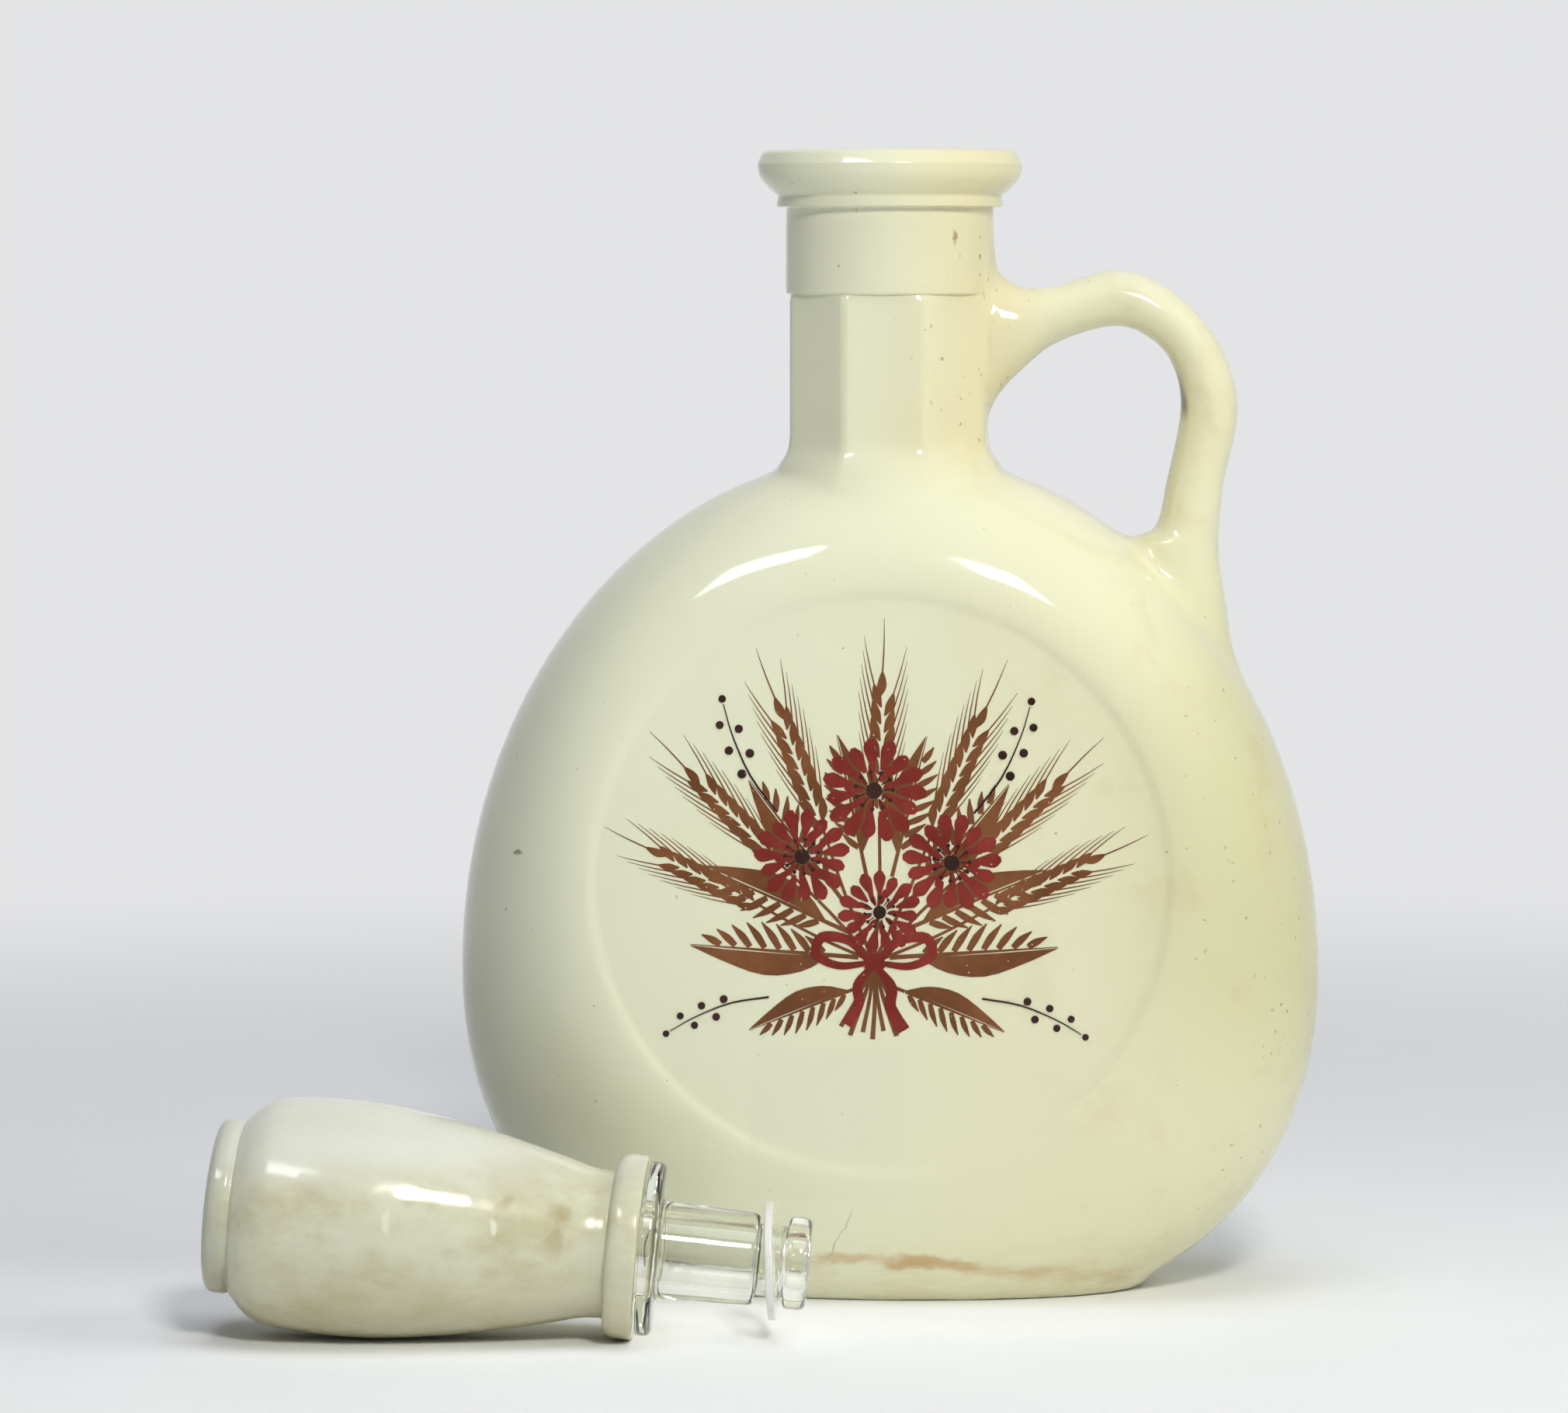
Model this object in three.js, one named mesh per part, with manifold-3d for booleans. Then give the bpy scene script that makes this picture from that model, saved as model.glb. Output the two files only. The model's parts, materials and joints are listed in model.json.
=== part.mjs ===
// Flask decanter with a loop handle, and its stopper lying on the table beside it.
// Millimetres, +Z up. The origin is the centre of the bottle's base, on the table.
// The handle is on the +X side, and the flat front panel faces -Y.
import * as THREE from 'three';
import { mergeVertices } from 'three/addons/utils/BufferGeometryUtils.js';
import Module from 'manifold-3d';

const wasm = await Module();
wasm.setup();

// Flask body: an egg-shaped outline in the XZ plane, with a round flat panel on each face
const bodyHalfWidth = 79.2;
const bodyWidestZ = 58.6;
const bodyRise = 95.3; // from the widest line up to the top of the outline
const bodyDrop = 66.8; // from the widest line down to the foot of the outline, below the base cut
const ellipsePower = 2;
const bodyLowerPower = 2.3; // the lower half is a little squarer than an ellipse
const bodyHalfDepth = 31;
const panelRadius = 53.5;
const panelZ = 77;
const panelRecess = 0.8;
const panelBevel = 2.4;
const wall = 5.5;
const floorThickness = 7;
const flaskFacets = { around: 64, toRim: 8 };
const hollowFacets = { around: 40, toRim: 6 };

// Neck: an octagon with soft corners that flares into the shoulder
const neckApothem = 17.85;
const neckCornerRadius = 19;
const neckFootZ = 145;
const neckFilletZ = 157; // where the flare ends
const neckFlare = 7.5; // how far the foot stands out
const neckFlarePower = 1.5;
const neckFlareSteps = 4;
const neckTopZ = 183.2;
const neckFacets = 48;

// Collar band, small ring, ogee and rolled lip
const bandRadius = 19.05;
const bandBottomZ = 182.8;
const bandTopZ = 198.6;
const ringRadius = 20.9;
const ringZ = [198.9, 199.6, 200.9]; // its soft foot, its side and its top
const ogeeRadius = 21.7;
const ogeeZ = 202.2;
const lipUnderRadius = 23.3;
const lipUnderZ = 204.2;
const lipRadius = 24.3;
const lipZ = [205.6, 206.8]; // the upright side of the lip
const lipTopRadius = 22.4;
const bottleHeight = 209.3;
const glassEdge = 0.5; // softening of moulded edges
const finishFacets = 48;

// Bore: a straight mouth that the plug's washer seals in, then a wider neck
const boreRadius = 10;
const mouthRadius = 11.6;
const mouthDepth = 1.8;
const neckInnerRadius = 13.2;
const boreEndZ = 177;
const boreConeLength = 6;
const boreOvershoot = 5; // how far the cutter stands above the lip
const boreFacets = 32;

// Handle stations from inside the neck, over the top, to inside the shoulder:
// outer edge x, z, inner edge x, z, half depth along Y
const handleStations = [
  [12, 191.3, 12, 161.4, 8],
  [18.6, 191.3, 18.6, 161.4, 8],
  [22.2, 186, 22.4, 167.4, 7.3],
  [30, 185.6, 31, 174.2, 6.5],
  [41.5, 187.4, 41.2, 177.1, 6.2],
  [51.5, 183.8, 47.6, 175, 6.2],
  [60.3, 174.3, 51.9, 170, 6.2],
  [63.8, 162.2, 53.4, 161.8, 6.2],
  [61.4, 148.7, 50.9, 148.9, 6.3],
  [60.5, 139.6, 48.8, 140.4, 7],
  [60.7, 133.5, 43.5, 137, 8.2],
  [62.5, 123, 48, 123, 8.6],
  [65.5, 105, 53, 103, 7.5],
];
const handleRings = 48;
const handleSides = 14;

// Stopper, measured along its axis from the tip of the plug (0) to the top of the knob
const headFootH = 29.7; // the gap under it shows as a thin dark line
const headLength = 76;
const headTopH = headFootH + headLength;
const headCollar = { radius: 16.3, chamfer: 0.7, side: 2, height: 5.2, round: 2.85 };
const headFlank = [ // from the waist to under the end disc: radius, height above the collar
  [12.95, 1.2],
  [13.35, 4.6],
  [15.15, 11.3],
  [18.2, 24.6],
  [20.3, 38],
  [20.8, 48.2],
  [20.2, 58.4],
  [18.6, 62.8],
  [15.7, 65.8],
];
const headWidest = 48.2; // height of the widest ring above the collar
const headDisc = { radius: 15.3, height: 5, round: [3.8, 3], groove: 0.4 };
const headSocket = { radius: 9.8, depth: 57, dome: 10 };
const headFlankSteps = 20;

const plugMouth = { radius: 4.7, chamfer: 0.6, depth: 3.4 };
const plugBead = { radius: 8.1, round: 1.5, side: 2.9, height: 4, neck: 0.5 };
const plugGroove = { radius: 6.3, low: 4.4, high: 9.2 };
const plugShank = { nearGroove: 8.05, nearFlange: 8.65, round: 1.2, fillet: 0.8 };
const plugFlange = { radius: 15.3, low: 26.5, high: 29.2, chamfer: 0.6 };
const plugSpigot = { radius: 9.5, top: 37.4, chamfer: 0.5 };
const plugBoreRadius = 5.6;

const washer = { inner: 6.9, outer: 10.4, thickness: 1.3, chamfer: 0.3 };
const washerH = 6.7;
const washerSkew = THREE.MathUtils.degToRad(7);

const turnedFacets = 36;
const edgeSteps = 3;

// Where the stopper lies: the widest ring of the knob is over this point of the table
const stopperBulbXY = new THREE.Vector2(-93, -68);
const stopperYaw = THREE.MathUtils.degToRad(-1.5);

const coatMaterial = { color: 0xe9e4c9, roughness: 0.22, metalness: 0 };
const glassMaterial = { color: 0xdfe3dc, roughness: 0.04, metalness: 0, transparent: true, opacity: 0.4 };
const washerMaterial = { color: 0xe8e8e0, roughness: 0.4, metalness: 0, transparent: true, opacity: 0.7 };

const mergeTolerance = 1e-4;

// Turns a closed geometry into a solid that can be joined and cut
function toSolid(geometry) {
  const bare = new THREE.BufferGeometry();
  bare.setAttribute('position', geometry.getAttribute('position'));
  bare.setIndex(geometry.getIndex());
  const merged = mergeVertices(bare, mergeTolerance);
  const index = merged.getIndex().array;
  const triangles = [];
  for (let i = 0; i < index.length; i += 3) {
    const [a, b, c] = [index[i], index[i + 1], index[i + 2]];
    if (a !== b && b !== c && c !== a) {
      triangles.push(a, b, c);
    }
  }
  return new wasm.Manifold(new wasm.Mesh({
    numProp: 3,
    vertProperties: new Float32Array(merged.getAttribute('position').array),
    triVerts: new Uint32Array(triangles),
  }));
}

function toGeometry(solid) {
  const mesh = solid.getMesh();
  const geometry = new THREE.BufferGeometry();
  geometry.setAttribute('position', new THREE.BufferAttribute(mesh.vertProperties, 3));
  geometry.setIndex(new THREE.BufferAttribute(mesh.triVerts, 1));
  geometry.computeVertexNormals();
  return geometry;
}

// Skins a stack of rings that have the same number of points, and closes both ends with a fan
function loft(rings) {
  const sides = rings[0].length;
  const points = rings.flat();
  const index = [];
  for (let r = 0; r + 1 < rings.length; r += 1) {
    for (let s = 0; s < sides; s += 1) {
      const a = r * sides + s;
      const b = r * sides + (s + 1) % sides;
      index.push(a, b, b + sides, a, b + sides, a + sides);
    }
  }
  const last = (rings.length - 1) * sides;
  const firstCentre = points.length;
  const middle = (ring) => ring.reduce((sum, p) => sum.add(p), new THREE.Vector3()).divideScalar(sides);
  points.push(middle(rings[0]), middle(rings[rings.length - 1]));
  for (let s = 0; s < sides; s += 1) {
    const next = (s + 1) % sides;
    index.push(firstCentre, next, s, firstCentre + 1, last + s, last + next);
  }
  const geometry = new THREE.BufferGeometry().setFromPoints(points);
  geometry.setIndex(index);
  return geometry;
}

// Revolves [radius, height] pairs about Z
function revolve(profile, segments) {
  const points = profile.map(([radius, height]) => new THREE.Vector2(radius, height));
  return new THREE.LatheGeometry(points, segments).rotateX(Math.PI / 2);
}

// Quarter of an ellipse in [radius, height], from a point on an upright side to one on a level edge
function quarterRound([sideRadius, sideH], [levelRadius, levelH]) {
  return Array.from({ length: edgeSteps + 1 }, (_, step) => {
    const turn = step / edgeSteps * Math.PI / 2;
    return [
      levelRadius + (sideRadius - levelRadius) * Math.cos(turn),
      sideH + (levelH - sideH) * Math.sin(turn),
    ];
  });
}

const signedPower = (value, power) => Math.sign(value) * Math.abs(value) ** power;

// Egg outline of the flask: an ellipse above the widest line and a superellipse below it
function bodyOutline(angle, inset) {
  const up = Math.cos(angle) >= 0;
  const power = 2 / (up ? ellipsePower : bodyLowerPower);
  const reach = (up ? bodyRise : bodyDrop) - inset;
  const x = (bodyHalfWidth - inset) * signedPower(Math.sin(angle), power);
  return new THREE.Vector2(x, bodyWidestZ + reach * signedPower(Math.cos(angle), power));
}

// Flask body: from the front panel, round the edge and on to the back panel.
// An inset makes the hollow inside, which has no panel bevel.
function flask({ around, toRim }, inset) {
  const halfDepth = bodyHalfDepth - inset;
  const panelCentre = new THREE.Vector2(0, panelZ);
  const sections = [];
  if (inset === 0) {
    sections.push({ toPanel: 1, panel: panelRadius - panelBevel, y: panelRecess - halfDepth });
  }
  for (let step = 0; step <= 2 * toRim; step += 1) {
    const turn = (step / toRim - 1) * Math.PI / 2;
    sections.push({ toPanel: 1 - Math.cos(turn), panel: panelRadius, y: halfDepth * Math.sin(turn) });
  }
  if (inset === 0) {
    sections.push({ toPanel: 1, panel: panelRadius - panelBevel, y: halfDepth - panelRecess });
  }
  const outlineAngles = Array.from({ length: around }, (_, i) => 2 * Math.PI * i / around);
  return loft(sections.map(({ toPanel, panel, y }) => outlineAngles.map((angle) => {
    const rim = bodyOutline(angle, inset);
    const edge = rim.clone().sub(panelCentre).setLength(panel).add(panelCentre);
    const at = rim.lerp(edge, toPanel);
    return new THREE.Vector3(at.x, y, at.y);
  })));
}

// Octagonal neck with soft corners; its foot flares out along a quarter turn
function neck() {
  const facet = Math.PI / 4;
  const levels = [[neckFootZ, neckFlare]];
  for (let step = 1; step <= neckFlareSteps; step += 1) {
    const rise = Math.sin(step / neckFlareSteps * Math.PI / 2);
    levels.push([neckFootZ + (neckFilletZ - neckFootZ) * rise, neckFlare * (1 - rise) ** neckFlarePower]);
  }
  levels.push([neckTopZ, 0]);
  return loft(levels.map(([z, flare]) => Array.from({ length: neckFacets }, (_, i) => {
    const angle = 2 * Math.PI * i / neckFacets;
    const fromFacetCentre = ((angle + facet / 2) % facet) - facet / 2;
    const radius = Math.min(neckApothem / Math.cos(fromFacetCentre), neckCornerRadius) + flare;
    return new THREE.Vector3(radius * Math.cos(angle), radius * Math.sin(angle), z);
  })));
}

// Collar band, small ring, ogee and bevelled lip
function finish() {
  const [ringFootZ, ringSideZ, ringTopZ] = ringZ;
  const [lipSideLowZ, lipSideHighZ] = lipZ;
  return revolve([
    [0, bandBottomZ],
    [bandRadius - glassEdge, bandBottomZ],
    [bandRadius, bandBottomZ + glassEdge],
    [bandRadius, bandTopZ],
    [ringRadius - glassEdge, ringFootZ],
    [ringRadius, ringSideZ],
    [ringRadius, ringTopZ],
    [ogeeRadius, ogeeZ],
    [lipUnderRadius, lipUnderZ],
    [lipRadius, lipSideLowZ],
    [lipRadius, lipSideHighZ],
    [lipTopRadius, bottleHeight],
    [0, bottleHeight],
  ], finishFacets);
}

// Loop handle: oval sections between its outer and inner edges, thick at both roots
function handle() {
  const inPlane = (x, z) => new THREE.Vector3(x, 0, z);
  const outerEdge = new THREE.CatmullRomCurve3(handleStations.map(([x, z]) => inPlane(x, z)));
  const innerEdge = new THREE.CatmullRomCurve3(handleStations.map(([, , x, z]) => inPlane(x, z)));
  const depths = new THREE.SplineCurve(handleStations.map((station, i) => new THREE.Vector2(i, station[4])));
  return loft(Array.from({ length: handleRings + 1 }, (_, ring) => {
    const along = ring / handleRings;
    const outer = outerEdge.getPoint(along);
    const inner = innerEdge.getPoint(along);
    const halfDepth = depths.getPoint(along).y;
    return Array.from({ length: handleSides }, (_, side) => {
      const angle = 2 * Math.PI * side / handleSides;
      const point = inner.clone().lerp(outer, (1 + Math.cos(angle)) / 2);
      point.y = -halfDepth * Math.sin(angle);
      return point;
    });
  }));
}

// The way in from the lip to the hollow body
function bore() {
  return revolve([
    [0, panelZ],
    [neckInnerRadius, panelZ],
    [neckInnerRadius, boreEndZ - boreConeLength],
    [boreRadius, boreEndZ],
    [boreRadius, bottleHeight - mouthDepth],
    [mouthRadius, bottleHeight],
    [mouthRadius, bottleHeight + boreOvershoot],
    [0, bottleHeight + boreOvershoot],
  ], boreFacets);
}

// A block that fills everything below a level
function slabBelow(z) {
  const size = 4 * bodyHalfWidth;
  return toSolid(new THREE.BoxGeometry(size, size, size).translate(0, 0, z - size / 2));
}

function bottle() {
  const hollow = toSolid(flask(hollowFacets, wall)).subtract(slabBelow(floorThickness));
  const outside = toSolid(flask(flaskFacets, 0))
    .add(toSolid(neck()))
    .add(toSolid(finish()))
    .add(toSolid(handle()))
    .subtract(slabBelow(0));
  return toGeometry(outside.subtract(hollow).subtract(toSolid(bore())));
}

// Swelling side of the knob, from its waist to under the end disc
const headCollarTopH = headFootH + headCollar.height;
const headFlankCurve = new THREE.SplineCurve(
  headFlank.map(([radius, above]) => new THREE.Vector2(radius, headCollarTopH + above)),
);

// The knob is blown hollow, and its hollow ends in a dome
function stopperHead() {
  const { radius, chamfer, side, height, round } = headCollar;
  const hollowTopH = headFootH + headSocket.depth;
  const dome = quarterRound([headSocket.radius, hollowTopH - headSocket.dome], [0, hollowTopH]);
  const discFootH = headTopH - headDisc.height;
  const [discInward, discUpward] = headDisc.round;
  return revolve([
    ...dome.reverse(),
    [headSocket.radius, headFootH],
    [radius - chamfer, headFootH],
    [radius, headFootH + chamfer],
    ...quarterRound([radius, headFootH + side], [radius - round, headFootH + height]),
    ...headFlankCurve.getPoints(headFlankSteps).map((p) => [p.x, p.y]),
    [headDisc.radius - headDisc.groove, discFootH + headDisc.groove],
    [headDisc.radius, discFootH + 3 * headDisc.groove],
    ...quarterRound([headDisc.radius, headTopH - discUpward], [headDisc.radius - discInward, headTopH]),
    [0, headTopH],
  ], turnedFacets);
}

// Clear plug: an open tube with an end bead, the washer's groove, a tapered shank, a flange and a spigot
function stopperPlug() {
  const bead = quarterRound([plugBead.radius, plugBead.round], [plugBead.radius - plugBead.round, 0]);
  const shankEnd = quarterRound(
    [plugShank.nearGroove, plugGroove.high + plugShank.round],
    [plugShank.nearGroove - plugShank.round, plugGroove.high],
  );
  const profile = [
    [plugMouth.radius, plugMouth.chamfer],
    [plugMouth.radius + plugMouth.chamfer, 0],
    ...bead.reverse(),
    [plugBead.radius, plugBead.side],
    [plugBead.radius - plugBead.neck, plugBead.height],
    [plugGroove.radius, plugGroove.low],
    [plugGroove.radius, plugGroove.high],
    ...shankEnd.reverse(),
    [plugShank.nearFlange, plugFlange.low - plugShank.fillet],
    [plugShank.nearFlange + plugShank.fillet, plugFlange.low],
    [plugFlange.radius - plugFlange.chamfer, plugFlange.low],
    [plugFlange.radius, plugFlange.low + plugFlange.chamfer],
    [plugFlange.radius, plugFlange.high - plugFlange.chamfer],
    [plugFlange.radius - plugFlange.chamfer, plugFlange.high],
    [plugSpigot.radius, plugFlange.high],
    [plugSpigot.radius, plugSpigot.top - plugSpigot.chamfer],
    [plugSpigot.radius - plugSpigot.chamfer, plugSpigot.top],
    [plugBoreRadius, plugSpigot.top],
    [plugBoreRadius, plugGroove.low],
    [plugMouth.radius, plugMouth.depth],
  ];
  return revolve([...profile, profile[0]], turnedFacets);
}

// Sealing ring, loose and askew in the groove
function sealWasher() {
  const { inner, outer, chamfer } = washer;
  const half = washer.thickness / 2;
  const profile = [
    [inner, -half],
    [outer - chamfer, -half],
    [outer, chamfer - half],
    [outer, half - chamfer],
    [outer - chamfer, half],
    [inner, half],
  ];
  return revolve([...profile, profile[0]], turnedFacets);
}

function piece(name, geometry, material) {
  const mesh = new THREE.Mesh(geometry, new THREE.MeshStandardMaterial(material));
  mesh.name = name;
  return mesh;
}

// The stopper lies on its collar and on the knob: the tilt is that of the line touching both
function layStopper(stopper) {
  const collarH = headFootH + headCollar.chamfer;
  const slopes = headFlankCurve.getPoints(headFlankSteps).map((p) => (
    Math.atan2(p.x - headCollar.radius, p.y - collarH)
  ));
  const tilt = Math.max(...slopes);
  const restZ = headCollar.radius * Math.cos(tilt) - collarH * Math.sin(tilt);
  stopper.rotation.set(0, tilt - Math.PI / 2, -stopperYaw, 'ZYX');
  const axis = new THREE.Vector3(0, 0, 1).applyEuler(stopper.rotation);
  const widestH = headCollarTopH + headWidest;
  stopper.position.set(stopperBulbXY.x - widestH * axis.x, stopperBulbXY.y - widestH * axis.y, restZ);
}

const decanter = new THREE.Group();
decanter.add(piece('bottle', bottle(), coatMaterial));

const stopper = new THREE.Group();
stopper.add(piece('stopper_head', stopperHead(), coatMaterial));
stopper.add(piece('stopper_plug', stopperPlug(), glassMaterial));
const seal = piece('seal_washer', sealWasher(), washerMaterial);
seal.position.z = washerH;
seal.rotation.y = -washerSkew;
stopper.add(seal);
layStopper(stopper);
decanter.add(stopper);

export default decanter;
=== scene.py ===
"""Looks of the flask decanter: coated glass bottle, blown knob, clear plug and sealing washer."""

import json
import math

import bpy
from mathutils import Matrix, Vector

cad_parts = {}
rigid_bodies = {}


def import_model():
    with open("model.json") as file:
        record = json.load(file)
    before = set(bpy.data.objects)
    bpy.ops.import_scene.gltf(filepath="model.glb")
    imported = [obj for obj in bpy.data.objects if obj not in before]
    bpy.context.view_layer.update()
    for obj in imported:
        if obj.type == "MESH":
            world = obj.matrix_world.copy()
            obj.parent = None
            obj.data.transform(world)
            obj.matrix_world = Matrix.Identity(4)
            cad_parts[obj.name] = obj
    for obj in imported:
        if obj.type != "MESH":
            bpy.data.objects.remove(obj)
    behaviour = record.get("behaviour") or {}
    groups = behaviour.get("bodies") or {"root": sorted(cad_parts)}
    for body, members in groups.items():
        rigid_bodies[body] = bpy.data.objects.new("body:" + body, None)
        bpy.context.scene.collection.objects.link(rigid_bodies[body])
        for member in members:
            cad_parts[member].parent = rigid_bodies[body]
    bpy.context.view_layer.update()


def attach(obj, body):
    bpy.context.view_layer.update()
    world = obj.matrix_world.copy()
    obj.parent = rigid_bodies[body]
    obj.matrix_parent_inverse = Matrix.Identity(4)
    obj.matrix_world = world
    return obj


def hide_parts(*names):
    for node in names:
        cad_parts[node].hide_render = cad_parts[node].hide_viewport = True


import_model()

MM = 0.001
QUARTER_TURN = math.pi / 2
FULL_TURN = 2 * math.pi
TOUCHING = 0.002 * MM  # vertices nearer than this are one

# Flask body
BODY_HALF_WIDTH = 79.2 * MM
BODY_WIDEST_Z = 58.6 * MM
BODY_RISE = 95.3 * MM
BODY_DROP = 66.8 * MM
UPPER_HANDLE = 0.5523  # Bezier handle length that draws an ellipse, as a share of its radius
LOWER_HANDLE = 0.6395  # a longer one, which squares the lower half a little
BODY_HALF_DEPTH = 31 * MM
PANEL_RADIUS = 53.5 * MM
PANEL_Z = 77 * MM
PANEL_RECESS = 0.45 * MM
PANEL_BEVEL = 2.6 * MM
PANEL_MARGIN = 1.5 * MM
BASE_ROUND = 0.9 * MM
BASE_SPREAD = 1.05
BASE_SPREAD_REACH = 8 * MM
WALL = 5.5 * MM
FLOOR_THICKNESS = 7 * MM

# Octagonal neck, which runs up into the collar band
NECK_APOTHEM = 17.95 * MM
NECK_CORNER_ROUND = 1.1 * MM
NECK_FLARE = (  # height and spread, in millimetres
    (157, 0), (155.2, 0.25), (153.6, 0.85), (151.8, 1.9), (149.2, 3.3), (145.5, 5.7), (141, 9),
)
NECK_TOP_Z = 181.6 * MM
NECK_HEAD = ((182.3, 17.95, 0.25), (182.8, 17.85, 0.55), (184, 17.8, 0.7))  # height, size, roundness

# Collar band, ring, ogee and lip: radius, height and softening of each corner, in millimetres
FINISH_PROFILE = (
    (0, 182.9, 0),
    (19.1, 182.9, 0.7),
    (19.05, 198.75, 0.25),
    (20.85, 198.9, 0.4),
    (20.5, 200.95, 0.35),
    (21.8, 201.9, 0.7),
    (24.05, 204.3, 1.5),
    (24.3, 206.7, 0.14),
    (23.45, 208.75, 0.5),
    (22.5, 209.25, 0.4),
    (20.8, 209.3, 0.4),
    (0, 209.3, 0),
)

# Bore cutter, from inside the flask to above the lip
BORE_PROFILE = (
    (0, 77, 0),
    (13.2, 77, 0),
    (13.2, 171, 2),
    (10, 177, 2),
    (10, 207.5, 0.8),
    (11.9, 209.4, 0.2),
    (11.9, 214, 0),
    (0, 214, 0),
)

# Handle stations from inside the neck, over the top, to inside the shoulder:
# outer edge x, z, inner edge x, z and half depth, in millimetres
HANDLE_STATIONS = (
    (11, 191.3, 14, 150, 8),
    (16.8, 190.8, 17.3, 157, 8),
    (19.8, 187.2, 19.5, 163.6, 7.6),
    (24, 184.3, 24.2, 169, 7),
    (30, 184.4, 31, 174.2, 6.5),
    (41.5, 187.4, 41.2, 177.1, 6.2),
    (51.5, 183.8, 47.6, 175, 6.2),
    (60.3, 174.3, 51.9, 170, 6.2),
    (63.8, 162.2, 53.4, 161.8, 6.2),
    (61.4, 148.7, 50.9, 148.9, 6.3),
    (60.5, 139.6, 48.8, 140.4, 7),
    (60.7, 133.5, 43.5, 137, 8.2),
    (62.5, 123, 48, 123, 8.6),
    (65.5, 105, 53, 103, 7.5),
)

# Knob of the stopper, in millimetres along its axis from the tip of the plug
HEAD_FOOT_H = 29.7
HEAD_TOP_H = 105.7
HEAD_COLLAR_RADIUS = 16.3
HEAD_COLLAR_CHAMFER = 0.7
HEAD_COLLAR_TOP_H = 34.9
HEAD_FLANK = (
    (12.95, 36.1),
    (13.35, 39.5),
    (15.15, 46.2),
    (18.2, 59.5),
    (20.3, 72.9),
    (20.8, 83.1),
    (20.2, 93.3),
    (18.6, 97.7),
    (15.7, 100.7),
)
HEAD_WIDEST_H = 83.1
HEAD_DISC_RADIUS = 15.3
HEAD_SOCKET_RADIUS = 9.8
HEAD_SOCKET_TOP_H = 86.7

# Clear plug, a closed profile: radius, height and softening of each corner, in millimetres
PLUG_PROFILE = (
    (4.7, 0, 0.5),
    (8.1, 0, 1.5),
    (8.1, 3.9, 0.8),
    (6.3, 4.4, 0.4),
    (6.3, 9.2, 0.3),
    (8.05, 9.2, 1.2),
    (8.65, 26.5, 0.7),
    (15.3, 26.5, 1.5),
    (15.3, 29.2, 0.3),
    (9.5, 29.2, 0.2),
    (9.5, 37.4, 0.5),
    (5.6, 37.4, 0.5),
    (5.6, 4.4, 1),
    (4.7, 3.4, 0.6),
)

WASHER_PROFILE = (
    (6.9, -0.65, 0.15),
    (10.4, -0.65, 0.3),
    (10.4, 0.65, 0.3),
    (6.9, 0.65, 0.15),
)
WASHER_H = 6.7 * MM
WASHER_SKEW = math.radians(7)

# Where the stopper lies: the knob's widest ring is over this point of the table
STOPPER_BULB_XY = Vector((-93, -68)) * MM
STOPPER_YAW = math.radians(-1.5)

# Camera, from the photograph: its frame, the bottle axis and the horizon in pixels
IMAGE_SIZE = (2020, 1820)
AXIS_COLUMN = 1146
HORIZON_ROW = 320
FOCAL_PIXELS = 8400
SENSOR_WIDTH = 36
CAMERA_AZIMUTH = math.radians(3.2)
CAMERA_DISTANCE = 1.2
CAMERA_HEIGHT = 0.1913

# Wear of the coats: places and reach in millimetres, and strength
FOOT_STAINS = (
    ((6.5, -26.6, 8.2), (9, 9, 2.4), 0.62),
    ((-7, -26.4, 8.4), (7, 9, 1.7), 0.35),
    ((14.5, -25.8, 7.4), (5, 9, 1.8), 0.5),
)
COLLAR_SPOTS = (
    ((12.6, -14.3, 193.3), (0.7, 0.7, 1.9)),
    ((16.9, -8.7, 189.9), (0.7, 0.7, 0.8)),
    ((18.9, -6.2, 185.6), (0.9, 0.9, 0.6)),
)
KNOB_STREAKS = (
    ((-52.5, -80.5, 24), (3.2, 4, 2.6), 0.6),
    ((-54, -81, 19.5), (2.2, 4, 3.4), 0.4),
    ((-61.5, -83.5, 26), (2.6, 4, 2), 0.45),
    ((-77, -85, 27), (4.5, 4, 2), 0.3),
)
KNOB_SCUFFS = (
    ((-63.5, -84, 22), (0.8, 4, 2)),
    ((-82, -86, 23), (1.2, 4, 2.6)),
)
CHIP = ((-66, -26.3, 82), (1.5, 1.5, 0.75))
GLASS_SEED = ((-35.7, -79.8, 21.2), (1.3, 1.3, 1))
HANDLE_LOOP_CENTRE = Vector((37, 0, 160)) * MM
ANY_DEPTH = 1e6  # stretches a pattern so far along Y that depth no longer counts

# Colours, written as they look on a screen
CREAM = (235, 236, 210)
CREAM_CLOUD = (229, 230, 200)
CREAM_YELLOWED = (230, 224, 184)
FLANK_SHADE_YELLOW = (213, 210, 165)
FAR_SIDE_SHADE_GREY = (210, 212, 191)
NECK_YELLOW = (224, 209, 158)
SMEAR_BEIGE = (203, 183, 128)
RUST = (146, 112, 54)
COLLAR_BROWN = (152, 116, 52)
TIDE_BROWN = (190, 140, 72)
FOOT_BROWN = (190, 136, 66)
FOOT_DARKENED = (206, 190, 142)
GHOST_PALE = (228, 227, 202)
HAIRLINE_GREY = (150, 140, 110)
CHIP_DARK = (112, 106, 62)
LOOP_LINE_DARK = (104, 92, 48)
KNOB_CREAM = (221, 221, 198)
KNOB_CLOUD = (211, 210, 182)
KNOB_MOTTLE = (181, 173, 131)
KNOB_GRAIN = (176, 158, 108)
KNOB_TOP_REFLECTION = (226, 227, 216)
KNOB_END_SHADE = (176, 177, 163)
KNOB_UNDER_SHADE = (186, 176, 134)
STREAK_BROWN = (154, 134, 76)
SCUFF_PALE = (240, 239, 222)
INSIDE_PALE = (226, 222, 192)
INSIDE_DULL = (205, 196, 158)
SEED_BROWN = (58, 26, 14)
WASHER_PALE = (250, 250, 247)
WASHER_DULL = (238, 238, 231)
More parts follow.
